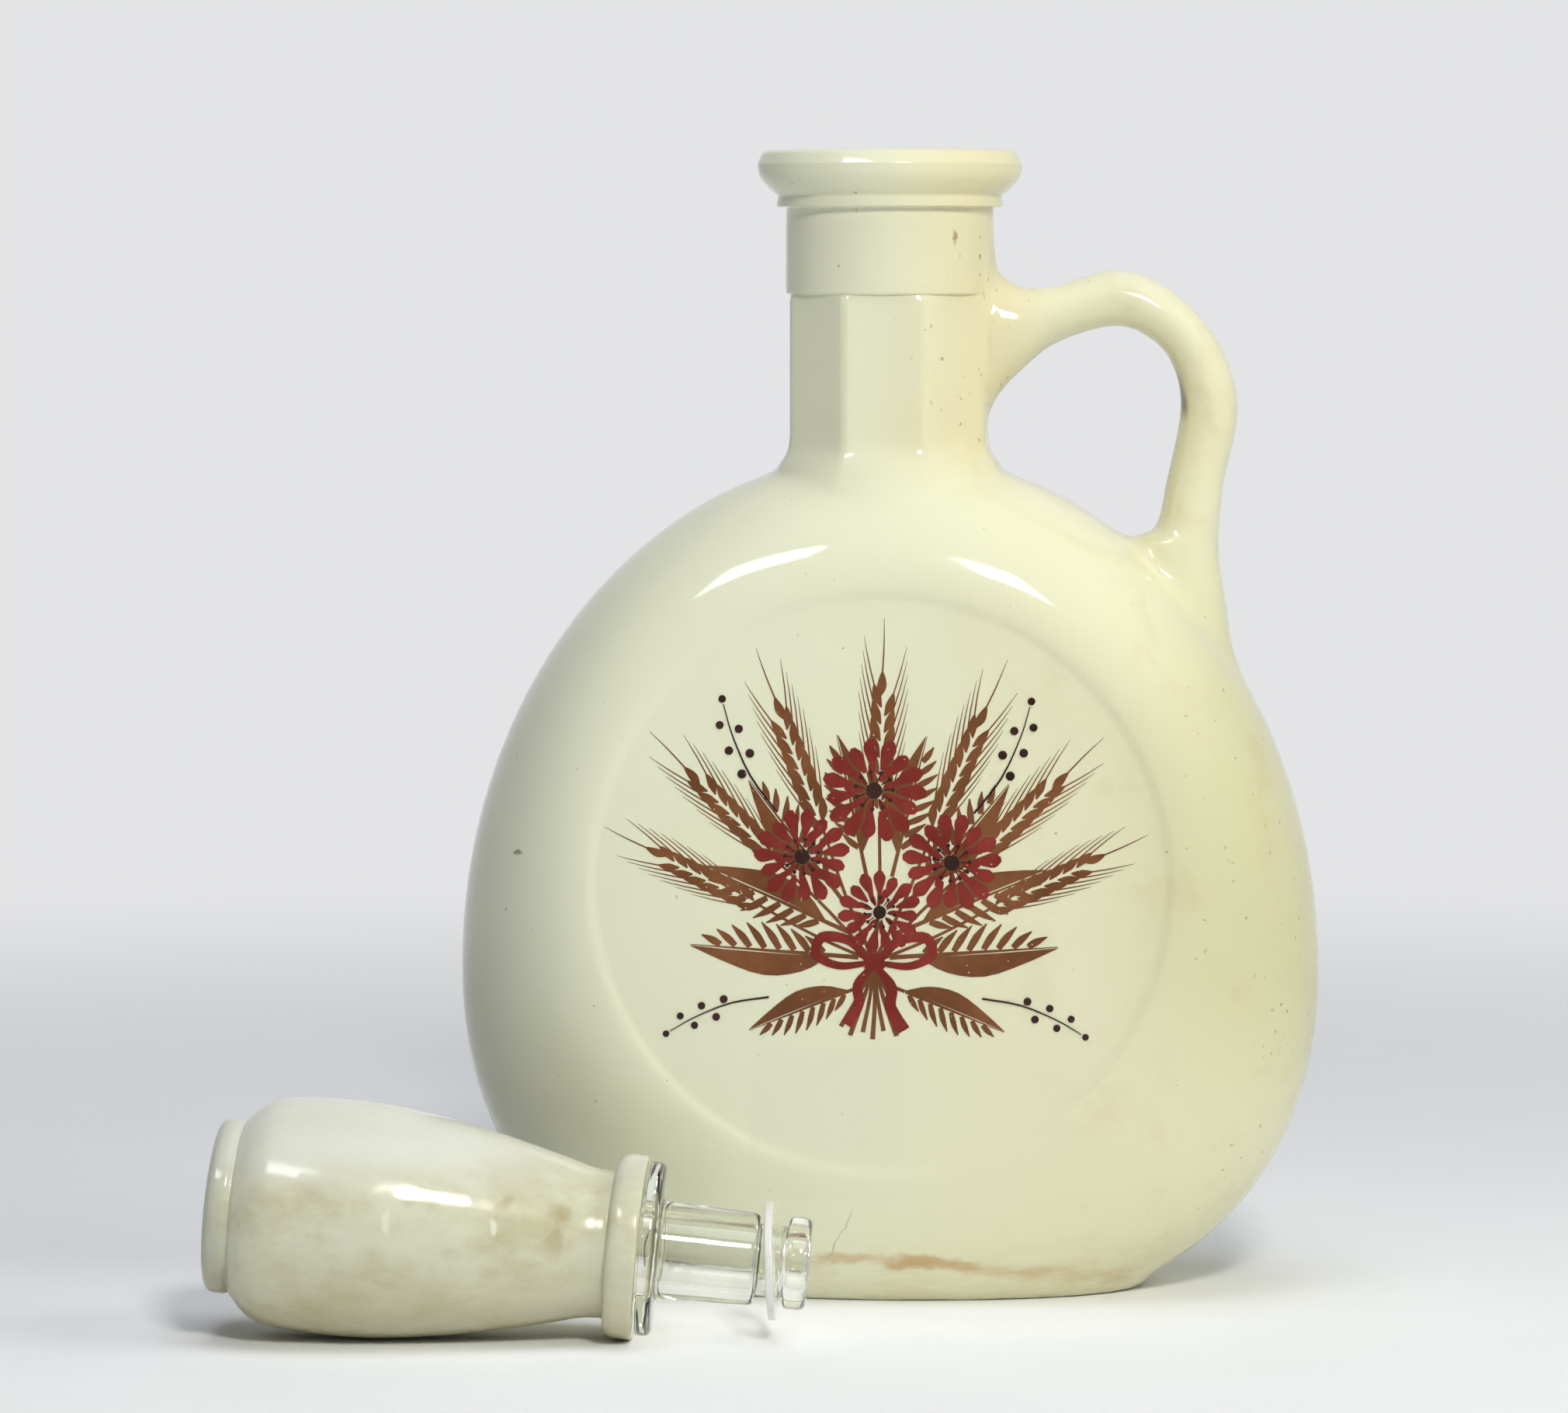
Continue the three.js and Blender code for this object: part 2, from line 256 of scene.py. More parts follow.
INK_BROWN = (108, 64, 32)
INK_RED = (118, 34, 24)
INK_DARK = (46, 19, 12)
INK_RUBBED = (222, 214, 180)
FLOOR_PALE = (248, 249, 251)
FLOOR_DULL = (243, 244, 247)

# Tints of the clear glass, as linear colours
GLASS_CLEAR = (0.95, 0.955, 0.925, 1)
GLASS_HAZY = (0.88, 0.885, 0.835, 1)

# Print on the front panel, in millimetres and degrees
PRINT_Y = -(BODY_HALF_DEPTH - PANEL_RECESS)
FINEST_LINE = 0.06 * MM
FINE_LAYER = 0.0003 * MM
COARSE_LAYER = 0.003 * MM
BROWN_FILM = 0.08 * MM
RED_FILM = 0.26 * MM  # thicker than the brown, so that it lies over it
DARK_FILM = 0.32 * MM
PRINT_TIE = (-1, 63)
EARS = (  # turn, size and whether mirrored
    (-64, 0.92, True), (-44, 0.98, False), (-21, 1.02, True), (2, 1.05, False),
    (24, 1.01, False), (45, 0.98, True), (65, 0.92, False),
)
STEMS = ((-26, 0.95), (-17, 1), (-8, 0.9), (1, 1), (9, 0.92), (18, 1), (27, 0.94))
LEAVES = (  # x, z, turn, size and whether mirrored
    (-8, 64, -86, 1.05, False), (-9, 70, -66, 1.0, True),
    (-9, 77, -38, 0.95, False), (-3, 82, -12, 0.9, True),
    (6, 64, 86, 1.05, True), (7, 70, 67, 1.0, False),
    (8, 77, 40, 0.95, True), (3, 82, 14, 0.9, False),
    (-5, 58, -112, 0.8, True), (4, 58, 112, 0.8, False),
)
BLOOMS = (
    (-14, 82, 8, 0.92, False), (13, 81, -10, 0.95, True),
    (-1, 94, 20, 1.0, False), (0, 72, 0, 0.8, False),
)
SPRIGS = (
    (-18.5, 90, -32, 0.8, False), (17, 90, 33, 0.8, True),
    (-20, 56.5, -104, 0.7, True), (18.5, 56.5, 104, 0.7, False),
)

# Light: the backdrop, and soft boxes by azimuth, elevation, distance, size, power, colour,
# and whether each shows in mirroring surfaces and whether it lights the rest
BACKDROP = (0.77, 0.775, 0.785, 1)
AMBIENT = (0.95, 0.97, 1.0, 1)
AMBIENT_STRENGTH = 0.05
LAMP_TARGET = Vector((0, 0, 0.12))
LAMPS = (
    ("key", 15, 33, 1.2, (0.18, 0.2), 7, (1, 1, 0.94), True, True),
    ("window", -30, 42, 1.0, (0.36, 0.17), 1.9, (0.93, 0.97, 1), True, False),
    ("right_wash", 75, 30, 1.4, (0.8, 0.8), 6, (0.98, 1, 0.9), False, True),
    ("top", 10, 80, 1.3, (0.8, 0.8), 7.5, (0.9, 0.93, 1), False, True),
    ("back_fill", 190, 30, 1.6, (0.9, 0.9), 2.5, (1, 1, 1), False, True),
)

# Fineness of the meshes
EGG_STEPS = 48  # per quarter of the outline
DEPTH_STEPS = 30  # from the rim to the panel
HOLLOW_EGG_STEPS = 20
HOLLOW_DEPTH_STEPS = 10
BEVEL_STEPS = 6
TURNED_STEPS = 96
SOFT_STEPS = 5
SPAN_STEPS = 6
HANDLE_SIDES = 36
FLARE_STEPS = 4
RIBBON_STEPS = 5
SMOOTH_ANGLE = math.radians(40)

# Moulded fillets at the joints: rings about the seam and repeats of each smoothing
NECK_FILLET = ((3, 2), (2, 3), (1, 4))
HANDLE_FILLET = ((4, 3), (3, 4), (2, 6))

FLOOR_SIZE = 60


# Modelling helpers

def start(name, add, **how):
    """Adds a primitive alone in the selection, with its place in its mesh."""
    bpy.ops.object.select_all(action="DESELECT")
    add(**how)
    piece = bpy.context.object
    piece.name = piece.data.name = name
    bpy.ops.object.transform_apply(location=True, rotation=True, scale=True)
    return piece


def make_active(piece):
    bpy.ops.object.select_all(action="DESELECT")
    piece.select_set(True)
    bpy.context.view_layer.objects.active = piece


def edit(piece):
    make_active(piece)
    bpy.ops.object.mode_set(mode="EDIT")
    bpy.ops.mesh.select_mode(type="VERT")
    bpy.ops.mesh.select_all(action="SELECT")


def leave_edit():
    bpy.ops.object.mode_set(mode="OBJECT")


def edit_picked(piece, picked):
    """Goes into edit mode with only these vertices selected."""
    edit(piece)
    bpy.ops.mesh.select_all(action="DESELECT")
    leave_edit()
    for index in picked:
        piece.data.vertices[index].select = True
    bpy.ops.object.mode_set(mode="EDIT")


def edit_where(piece, test):
    """Goes into edit mode with only the vertices selected whose place passes the test."""
    edit_picked(piece, [vertex.index for vertex in piece.data.vertices if test(vertex.co)])


def face_outwards():
    """Merges what touches and turns all faces out; works on the mesh being edited."""
    bpy.ops.mesh.select_all(action="SELECT")
    bpy.ops.mesh.remove_doubles(threshold=TOUCHING)
    bpy.ops.mesh.normals_make_consistent(inside=False)


def apply_modifier(piece, kind, **settings):
    make_active(piece)
    bpy.ops.object.modifier_add(type=kind)
    modifier = piece.modifiers[-1]
    for key, value in settings.items():
        setattr(modifier, key, value)
    bpy.ops.object.modifier_apply(modifier=modifier.name)


def combine(piece, other, operation):
    """Joins another closed mesh to a piece, or cuts it out of the piece, and removes the other."""
    apply_modifier(
        piece, "BOOLEAN", operation=operation, object=other, solver="EXACT", material_mode="TRANSFER",
    )
    bpy.data.objects.remove(other)


def shade(piece):
    make_active(piece)
    bpy.ops.object.shade_smooth_by_angle(angle=SMOOTH_ANGLE)


def softened(corners, closed=False):
    """Radius and height of each point of a profile in metres, with every corner drawn as a short arc."""
    points = [Vector((radius, height)) * MM for radius, height, _ in corners]
    rounds = [softening * MM for _, _, softening in corners]
    path = []
    for i, (corner, softening) in enumerate(zip(points, rounds)):
        if softening == 0:
            path.append(corner)
            continue
        before = points[i - 1] - corner
        after = points[(i + 1) % len(points)] - corner
        first = corner + before.normalized() * min(softening, before.length / 2)
        last = corner + after.normalized() * min(softening, after.length / 2)
        for step in range(SOFT_STEPS + 1):
            t = step / SOFT_STEPS
            path.append(first * (1 - t) ** 2 + corner * 2 * t * (1 - t) + last * t ** 2)
    return path + path[:1] if closed else path


def smooth_curve(points, steps):
    """A Catmull-Rom curve through rows of numbers, with this many steps in each span."""
    rows = [Vector(p) for p in points]
    rows = [2 * rows[0] - rows[1], *rows, 2 * rows[-1] - rows[-2]]
    path = []
    for p0, p1, p2, p3 in zip(rows, rows[1:], rows[2:], rows[3:]):
        for step in range(steps):
            t = step / steps
            path.append((2 * p1 + (p2 - p0) * t + (2 * p0 - 5 * p1 + 4 * p2 - p3) * t ** 2
                         + (3 * p1 - p0 - 3 * p2 + p3) * t ** 3) / 2)
    return [*path, rows[-2]]


def turned(name, path):
    """A turned piece: one vertex is extruded along the profile, which is then spun about Z."""
    piece = start(name, bpy.ops.mesh.primitive_plane_add, size=MM)
    edit(piece)
    bpy.ops.mesh.merge(type="CENTER")
    here = Vector((path[0][0], 0, path[0][1]))
    bpy.ops.transform.translate(value=here)
    for radius, height in path[1:]:
        there = Vector((radius, 0, height))
        bpy.ops.mesh.extrude_vertices_move(TRANSFORM_OT_translate={"value": there - here})
        here = there
    bpy.ops.mesh.select_all(action="SELECT")
    bpy.ops.mesh.spin(steps=TURNED_STEPS, angle=FULL_TURN, center=(0, 0, 0), axis=(0, 0, 1))
    face_outwards()
    leave_edit()
    return piece


# Bottle

def egg_ring(name, inset, steps):
    """The flask's outline as a ring of vertices, drawn with four Bezier points."""
    bpy.ops.object.select_all(action="DESELECT")
    bpy.ops.curve.primitive_bezier_circle_add()
    ring = bpy.context.object
    ring.name = name
    half, rise, drop = (size - inset for size in (BODY_HALF_WIDTH, BODY_RISE, BODY_DROP))
    top, bottom = BODY_WIDEST_Z + rise, BODY_WIDEST_Z - drop
    upper_side = BODY_WIDEST_Z + UPPER_HANDLE * rise
    lower_side = BODY_WIDEST_Z - LOWER_HANDLE * drop
    corners = (
        ((-half, BODY_WIDEST_Z), (-half, lower_side), (-half, upper_side)),
        ((0, top), (-UPPER_HANDLE * half, top), (UPPER_HANDLE * half, top)),
        ((half, BODY_WIDEST_Z), (half, upper_side), (half, lower_side)),
        ((0, bottom), (LOWER_HANDLE * half, bottom), (-LOWER_HANDLE * half, bottom)),
    )
    ring.data.dimensions = "3D"
    ring.data.resolution_u = steps
    for point, (place, left, right) in zip(ring.data.splines[0].bezier_points, corners):
        point.handle_left_type = point.handle_right_type = "FREE"
        point.co = (place[0], 0, place[1])
        point.handle_left = (left[0], 0, left[1])
        point.handle_right = (right[0], 0, right[1])
    bpy.ops.object.convert(target="MESH")
    return bpy.context.object


def flask(name, inset, egg_steps, depth_steps):
    """Extrudes the outline forwards while it draws in to the round panel, then mirrors it."""
    piece = egg_ring(name, inset, egg_steps)
    half_depth = BODY_HALF_DEPTH - inset
    centre = Vector((0, 0, PANEL_Z))
    reach = sum((v.co - centre).length for v in piece.data.vertices) / len(piece.data.vertices)
    edit(piece)
    done, y, size = 0.0, 0.0, 1.0
    for step in range(1, depth_steps + 1):
        turn = step / depth_steps * QUARTER_TURN
        to_panel, new_y = 1 - math.cos(turn), -half_depth * math.sin(turn)
        new_size = 1 + to_panel * (PANEL_RADIUS / reach - 1)
        bpy.ops.mesh.extrude_edges_move(TRANSFORM_OT_translate={"value": (0, new_y - y, 0)})
        middle = (0, new_y, PANEL_Z)
        bpy.ops.transform.tosphere(value=(to_panel - done) / (1 - done), center_override=middle)
        bpy.ops.transform.resize(value=(new_size / size, 1, new_size / size), center_override=middle)
        done, y, size = to_panel, new_y, new_size
    if inset == 0:
        press_panel(y)
    bpy.ops.mesh.edge_face_add()
    leave_edit()
    apply_modifier(piece, "MIRROR", use_axis=(False, True, False), use_clip=True, merge_threshold=TOUCHING)
    edit(piece)
    face_outwards()
    leave_edit()
    return piece


def press_panel(y):
    """Steps the panel in behind its rim along a soft S, and keeps a level margin inside it."""
    radius, level = PANEL_RADIUS, 0.0
    rings = []
    for step in range(1, BEVEL_STEPS + 1):
        t = step / BEVEL_STEPS
        rings.append((PANEL_RADIUS - PANEL_BEVEL * t, PANEL_RECESS * t * t * (3 - 2 * t)))
    rings.append((PANEL_RADIUS - PANEL_BEVEL - PANEL_MARGIN, PANEL_RECESS))
    for new_radius, new_level in rings:
        bpy.ops.mesh.extrude_edges_move(TRANSFORM_OT_translate={"value": (0, new_level - level, 0)})
        ratio = new_radius / radius
        bpy.ops.transform.resize(value=(ratio, 1, ratio), center_override=(0, y + new_level, PANEL_Z))
        radius, level = new_radius, new_level


def flatten_foot(piece, z):
    """Cuts a piece level at a height and closes it, with the new edge left selected."""
    edit(piece)
    bpy.ops.mesh.bisect(plane_co=(0, 0, z), plane_no=(0, 0, 1), clear_inner=True, use_fill=True)


def square_foot():
    """Spreads the foot a little, as the mould fills its corner, and rounds its edge."""
    bpy.ops.transform.resize(
        value=(BASE_SPREAD, BASE_SPREAD, 1), center_override=(0, 0, 0), use_proportional_edit=True,
        proportional_edit_falloff="SMOOTH", proportional_size=BASE_SPREAD_REACH,
    )
    bpy.ops.mesh.bevel(offset=BASE_ROUND, segments=SOFT_STEPS, affect="EDGES")
    leave_edit()
    edit_where(bpy.context.object, lambda co: co.z < TOUCHING)
    bpy.ops.transform.resize(value=(1, 1, 0), center_override=(0, 0, 0))
    leave_edit()


def neck():
    """An octagon with soft corners, extruded up to the band and flared down into the shoulder."""
    sides, facet_cuts = 8, 7
    piece = start(
        "neck", bpy.ops.mesh.primitive_circle_add, vertices=sides,
        radius=NECK_APOTHEM / math.cos(math.pi / sides),
        location=(0, 0, NECK_TOP_Z), rotation=(0, 0, math.pi / sides),
    )
    edit(piece)
    bpy.ops.mesh.bevel(affect="VERTICES", offset=NECK_CORNER_ROUND, segments=SOFT_STEPS)
    leave_edit()
    facet = 2 * NECK_APOTHEM * math.tan(math.pi / sides) - 2 * NECK_CORNER_ROUND
    edit(piece)
    bpy.ops.mesh.select_mode(type="EDGE")
    bpy.ops.mesh.select_all(action="DESELECT")
    leave_edit()
    for edge in piece.data.edges:
        first, last = (piece.data.vertices[i].co for i in edge.vertices)
        edge.select = (last - first).length > facet / 2
    bpy.ops.object.mode_set(mode="EDIT")
    bpy.ops.mesh.subdivide(number_cuts=facet_cuts)
    bpy.ops.mesh.select_mode(type="VERT")
    bpy.ops.mesh.select_all(action="SELECT")
    draw_rings(neck_levels())
    leave_edit()
    edit_where(piece, lambda co: co.z > NECK_TOP_Z - TOUCHING)
    draw_rings([(z * MM, size * MM, roundness) for z, size, roundness in NECK_HEAD])
    face_outwards()
    leave_edit()
    return piece


def draw_rings(levels):
    """Extrudes the neck's ring through levels of height, size and added roundness, and caps the last."""
    z, size = NECK_TOP_Z, NECK_APOTHEM
    for new_z, new_size, roundness in levels:
        bpy.ops.mesh.extrude_edges_move(TRANSFORM_OT_translate={"value": (0, 0, new_z - z)})
        ratio = new_size / size
        bpy.ops.transform.resize(value=(ratio, ratio, 1), center_override=(0, 0, new_z))
        bpy.ops.transform.tosphere(value=roundness, center_override=(0, 0, new_z))
        z, size = new_z, new_size
    bpy.ops.mesh.edge_face_add()


def neck_levels():
    """Height, size and added roundness of each ring below the top of the facets."""
    straight_rings, full_round = 14, 0.3
    fillet_z = NECK_FLARE[0][0] * MM
    levels = []
    for step in range(1, straight_rings):
        levels.append((NECK_TOP_Z + (fillet_z - NECK_TOP_Z) * step / straight_rings, NECK_APOTHEM, 0))
    flare = smooth_curve(NECK_FLARE, FLARE_STEPS)
    for step, (z, spread_by) in enumerate(flare):
        levels.append((z * MM, NECK_APOTHEM + spread_by * MM, full_round * step / len(flare)))
    return levels


def handle():
    """Oval rings between the handle's outer and inner edges, bridged into one loop."""
    piece = start("handle", bpy.ops.mesh.primitive_circle_add, vertices=HANDLE_SIDES, radius=MM)
    edit(piece)
    bpy.ops.mesh.delete(type="VERT")
    stations = smooth_curve(HANDLE_STATIONS, SPAN_STEPS)
    for outer_x, outer_z, inner_x, inner_z, half_depth in stations:
        outer, inner = Vector((outer_x, 0, outer_z)) * MM, Vector((inner_x, 0, inner_z)) * MM
        across = outer - inner
        bpy.ops.mesh.primitive_circle_add(vertices=HANDLE_SIDES, radius=1)
        bpy.ops.transform.resize(value=(across.length / 2, half_depth * MM, 1), center_override=(0, 0, 0))
        lean = math.atan2(across.z, across.x)
        bpy.ops.transform.rotate(value=lean, orient_axis="Y", center_override=(0, 0, 0))
        bpy.ops.transform.translate(value=(outer + inner) / 2)
    bpy.ops.mesh.select_all(action="SELECT")
    bpy.ops.mesh.bridge_edge_loops()
    leave_edit()
    for end in (0, len(stations) - 1):
        edit_picked(piece, range(end * HANDLE_SIDES, (end + 1) * HANDLE_SIDES))
        bpy.ops.mesh.edge_face_add()
        leave_edit()
    edit(piece)
    face_outwards()
    leave_edit()
    return piece


def tag(piece, name):
    """Gives a piece a material of its own, so that its faces are known after a join."""
    piece.data.materials.clear()
    piece.data.materials.append(bpy.data.materials.get(name) or bpy.data.materials.new(name))


def seam_vertices(piece):
    """Vertices on the edges where faces of two joined pieces meet."""
    met = {}
    for face in piece.data.polygons:
        for key in face.edge_keys:
            met.setdefault(key, set()).add(face.material_index)
    return {vertex for key, tags in met.items() if len(tags) > 1 for vertex in key}


def melt_seam(piece, seam, passes):
    """Rounds a joint into a moulded fillet: smooths rings about the seam, (rings, repeats) at a time."""
    for rings, repeats in passes:
        edit_picked(piece, seam)
        for _ in range(rings):
            bpy.ops.mesh.select_more()
        bpy.ops.mesh.vertices_smooth(factor=0.5, repeat=repeats)
        leave_edit()


def bottle():
    """Joins flask, neck, finish and handle with moulded fillets, then hollows them."""
    piece = flask("bottle_glass", 0, EGG_STEPS, DEPTH_STEPS)
    flatten_foot(piece, 0)
    square_foot()
    tag(piece, "of_flask")
    throat = neck()
    tag(throat, "of_neck")
    combine(piece, throat, "UNION")
    melt_seam(piece, seam_vertices(piece), NECK_FILLET)
    tag(piece, "of_flask")
    finish = turned("finish", softened(FINISH_PROFILE))
    tag(finish, "of_flask")
    combine(piece, finish, "UNION")
    grip = handle()
    tag(grip, "of_handle")
    combine(piece, grip, "UNION")
    melt_seam(piece, seam_vertices(piece), HANDLE_FILLET)
    hollow = flask("hollow", WALL, HOLLOW_EGG_STEPS, HOLLOW_DEPTH_STEPS)
    flatten_foot(hollow, FLOOR_THICKNESS)
    leave_edit()
    tag(hollow, "of_inside")
    combine(piece, hollow, "DIFFERENCE")
    bore = turned("bore", softened(BORE_PROFILE))
    tag(bore, "of_inside")
    combine(piece, bore, "DIFFERENCE")
    shade(piece)
    return piece


# Stopper

def stopper_place():
    """Where the stopper lies: touching the table with its collar and its knob."""
    collar_h = HEAD_FOOT_H + HEAD_COLLAR_CHAMFER
    flank = smooth_curve(HEAD_FLANK, SPAN_STEPS)
    tilt = max(math.atan2(r - HEAD_COLLAR_RADIUS, h - collar_h) for r, h in flank)
    rest_z = (HEAD_COLLAR_RADIUS * math.cos(tilt) - collar_h * math.sin(tilt)) * MM
    turn = Matrix.Rotation(-STOPPER_YAW, 4, "Z") @ Matrix.Rotation(tilt - QUARTER_TURN, 4, "Y")
    axis = turn @ Vector((0, 0, 1))
    tip = STOPPER_BULB_XY - HEAD_WIDEST_H * MM * axis.xy
    return Matrix.Translation((tip.x, tip.y, rest_z)) @ turn


def lay(piece, place):
    """Puts a piece where it lies, with its place in its mesh."""
    piece.matrix_world = place
    make_active(piece)
    bpy.ops.object.transform_apply(location=True, rotation=True, scale=True)


def knob():
    """The hollow knob: collar, bulb and raised end disc outside, a rounded socket inside."""
    outside = (
        (HEAD_SOCKET_RADIUS, HEAD_FOOT_H, 0.2),
        (HEAD_COLLAR_RADIUS, HEAD_FOOT_H, HEAD_COLLAR_CHAMFER),
        (HEAD_COLLAR_RADIUS, HEAD_COLLAR_TOP_H, 2.6),
        (HEAD_FLANK[0][0], HEAD_COLLAR_TOP_H + 0.2, 0.9),
    )
    flank = [Vector(row) * MM for row in smooth_curve(HEAD_FLANK, SPAN_STEPS)]
    disc = (
        (HEAD_FLANK[-1][0], HEAD_FLANK[-1][1], 0),
        (HEAD_DISC_RADIUS - 0.5, HEAD_FLANK[-1][1] + 0.4, 0.3),
        (HEAD_DISC_RADIUS, HEAD_FLANK[-1][1] + 1.2, 0.5),
        (HEAD_DISC_RADIUS, HEAD_TOP_H, 3.2),
        (0, HEAD_TOP_H, 0),
    )
    socket = (
        (0, HEAD_SOCKET_TOP_H, 0),
        (HEAD_SOCKET_RADIUS, HEAD_SOCKET_TOP_H, HEAD_SOCKET_RADIUS * 0.9),
    )
    whole = softened((*socket, *outside, (*HEAD_FLANK[0], 0)))
    return turned("knob_coat", [*whole[:-1], *flank, *softened(disc)[1:]])


# Materials

def tone(red, green, blue):
    """A colour that is written as it looks on a screen, as the linear colour that a socket takes."""
    levels = [level / 255 for level in (red, green, blue)]
    return (*[v / 12.92 if v <= 0.04045 else ((v + 0.055) / 1.055) ** 2.4 for v in levels], 1)


def shader(name, **constants):
    """A new material; returns it with its node tree and its Principled shader."""
    material = bpy.data.materials.new(name)
    material.use_nodes = True
    principled = material.node_tree.nodes["Principled BSDF"]
    for socket, value in constants.items():
        principled.inputs[socket.replace("_", " ")].default_value = value
    return material, material.node_tree, principled


def put(tree, kind, inputs, **settings):
    """Adds a node; inputs maps a socket's name or number to a value or to another node's output."""
    node = tree.nodes.new(kind)
    for key, value in settings.items():
        setattr(node, key, value)
    for key, value in inputs.items():
        if isinstance(value, bpy.types.NodeSocket):
            tree.links.new(value, node.inputs[key])
        else:
            node.inputs[key].default_value = value
    return node


def object_place(tree):
    return put(tree, "ShaderNodeTexCoord", {}).outputs["Object"]


def split(tree, place):
    return put(tree, "ShaderNodeSeparateXYZ", {0: place}).outputs


def stretched(tree, place, *scale):
    return put(tree, "ShaderNodeMapping", {"Vector": place, "Scale": scale}).outputs[0]


def noise(tree, place, scale, detail=2.0, roughness=0.5):
    sockets = {"Vector": place, "Scale": scale, "Detail": detail, "Roughness": roughness}
    return put(tree, "ShaderNodeTexNoise", sockets).outputs[0]


def maths(tree, operation, *values):
    return put(tree, "ShaderNodeMath", dict(enumerate(values)), operation=operation).outputs[0]


def product(tree, *values):
    whole = values[0]
    for value in values[1:]:
        whole = maths(tree, "MULTIPLY", whole, value)
    return whole


def rise(tree, value, low, high, top=1.0):
    """Goes softly from nothing at the low value to the top at the high one."""
    sockets = {"Value": value, "From Min": low, "From Max": high, "To Max": top}
    return put(tree, "ShaderNodeMapRange", sockets, interpolation_type="SMOOTHSTEP").outputs[0]


def fall(tree, value, low, high):
    return maths(tree, "SUBTRACT", 1.0, rise(tree, value, low, high))


def between(tree, value, low, high, edge):
    """One between two values, fading over an edge on both sides."""
    past_low = rise(tree, value, low - edge, low + edge)
    short_of_high = fall(tree, value, high - edge, high + edge)
    return product(tree, past_low, short_of_high)


def mixed(tree, share, colour, other):
    return put(tree, "ShaderNodeMix", {0: share, 6: colour, 7: other}, data_type="RGBA").outputs[2]


def tinted(tree, colour, share, strength, other):
    """Lays another colour, as it looks on a screen, over a colour by a share and its strength."""
    return mixed(tree, product(tree, share, strength), colour, tone(*other))


def length_of(tree, vector):
    return put(tree, "ShaderNodeVectorMath", {0: vector}, operation="LENGTH").outputs["Value"]


def spot(tree, place, centre, reach):
    """A round or stretched spot about a point of the surface, both in millimetres."""
    sockets = {"Vector": place, "Location": Vector(centre) * MM, "Scale": Vector(reach) * MM}
    local = put(tree, "ShaderNodeMapping", sockets, vector_type="TEXTURE").outputs[0]
    return fall(tree, length_of(tree, local), 0.35, 1.0)


def specks(tree, place, scale, size, share):
    """Small irregular specks: a share of the cells of a pattern hold one each."""
    cells = put(tree, "ShaderNodeTexVoronoi", {"Vector": place, "Scale": scale})
    chance = split(tree, cells.outputs["Color"])
    chosen = maths(tree, "LESS_THAN", chance[0], share)
    reach = maths(tree, "MULTIPLY_ADD", maths(tree, "POWER", chance[1], 2.0), size, size * 0.5)
    close = maths(tree, "DIVIDE", cells.outputs["Distance"], reach)
    strength = maths(tree, "MULTIPLY_ADD", chance[2], 0.6, 0.4)
    return product(tree, chosen, strength, fall(tree, close, 0.4, 1.0))


def wavering(tree, place, scale, reach):
    """The place, shifted to and fro by a fine noise so that marks get ragged outlines."""
    sockets = {"Vector": place, "Scale": scale, "Detail": 3.0}
    sway = put(tree, "ShaderNodeTexNoise", sockets).outputs["Color"]
    sockets = {0: sway, 1: (0.5, 0.5, 0.5)}
    about = put(tree, "ShaderNodeVectorMath", sockets, operation="SUBTRACT").outputs[0]
    sockets = {0: about, 1: (reach, reach, reach), 2: place}
    return put(tree, "ShaderNodeVectorMath", sockets, operation="MULTIPLY_ADD").outputs[0]


def ripple(tree, principled, height, strength, distance):
    bump = put(tree, "ShaderNodeBump", {"Strength": strength, "Distance": distance, "Height": height})
    tree.links.new(bump.outputs[0], principled.inputs["Normal"])


def paint(tree, principled, colour, roughness):
    tree.links.new(colour, principled.inputs["Base Color"])
    tree.links.new(roughness, principled.inputs["Roughness"])


def neck_side(tree, x, z):
    """One on the handle side of the neck, and on the handle above its foot."""
    return product(tree, rise(tree, z, 0.145, 0.158), rise(tree, x, -0.006, 0.018))


def on_front(tree, y):
    """One on the front of the bottle only, so that its marks don't show on the back."""
    return fall(tree, y, -0.016, -0.008)


def aged_cream(tree, place):
    """Clouded cream: yellower on the handle side and the neck, greyer on the far side and darker on the
    right flank with painted shade, smeared.
    """
    x, _, z = split(tree, place)
    cloud = noise(tree, place, 22, 4, 0.55)
    colour = mixed(tree, cloud, tone(*CREAM), tone(*CREAM_CLOUD))
    drift = maths(tree, "MULTIPLY_ADD", cloud, 0.04, x)
    to_handle = product(tree, rise(tree, drift, -0.02, 0.095), fall(tree, z, 0.14, 0.2))
    colour = tinted(tree, colour, to_handle, 0.7, CREAM_YELLOWED)
    # painted shade: the middle of the right flank is darkened and yellowed to stand in for the shade there
    flank = product(tree, rise(tree, x, 0.035, 0.068), between(tree, z, 0.045, 0.125, 0.02))
    colour = tinted(tree, colour, flank, 1.0, FLANK_SHADE_YELLOW)
    # painted shade: the far side of the coat is greyed and darkened to stand in for the shade that falls
    # there
    far_side_shade = fall(tree, x, -0.074, -0.04)
    colour = tinted(tree, colour, far_side_shade, 0.85, FAR_SIDE_SHADE_GREY)
    yellowed = maths(tree, "MULTIPLY_ADD", fall(tree, x, 0.02, 0.032), 0.4, 0.2)
    colour = tinted(tree, colour, neck_side(tree, x, z), yellowed, NECK_YELLOW)
    smear = rise(tree, noise(tree, place, 75, 6, 0.6), 0.52, 0.74)
    handled = product(tree, smear, rise(tree, x, 0.0, 0.06))
    return tinted(tree, colour, handled, 0.3, SMEAR_BEIGE)


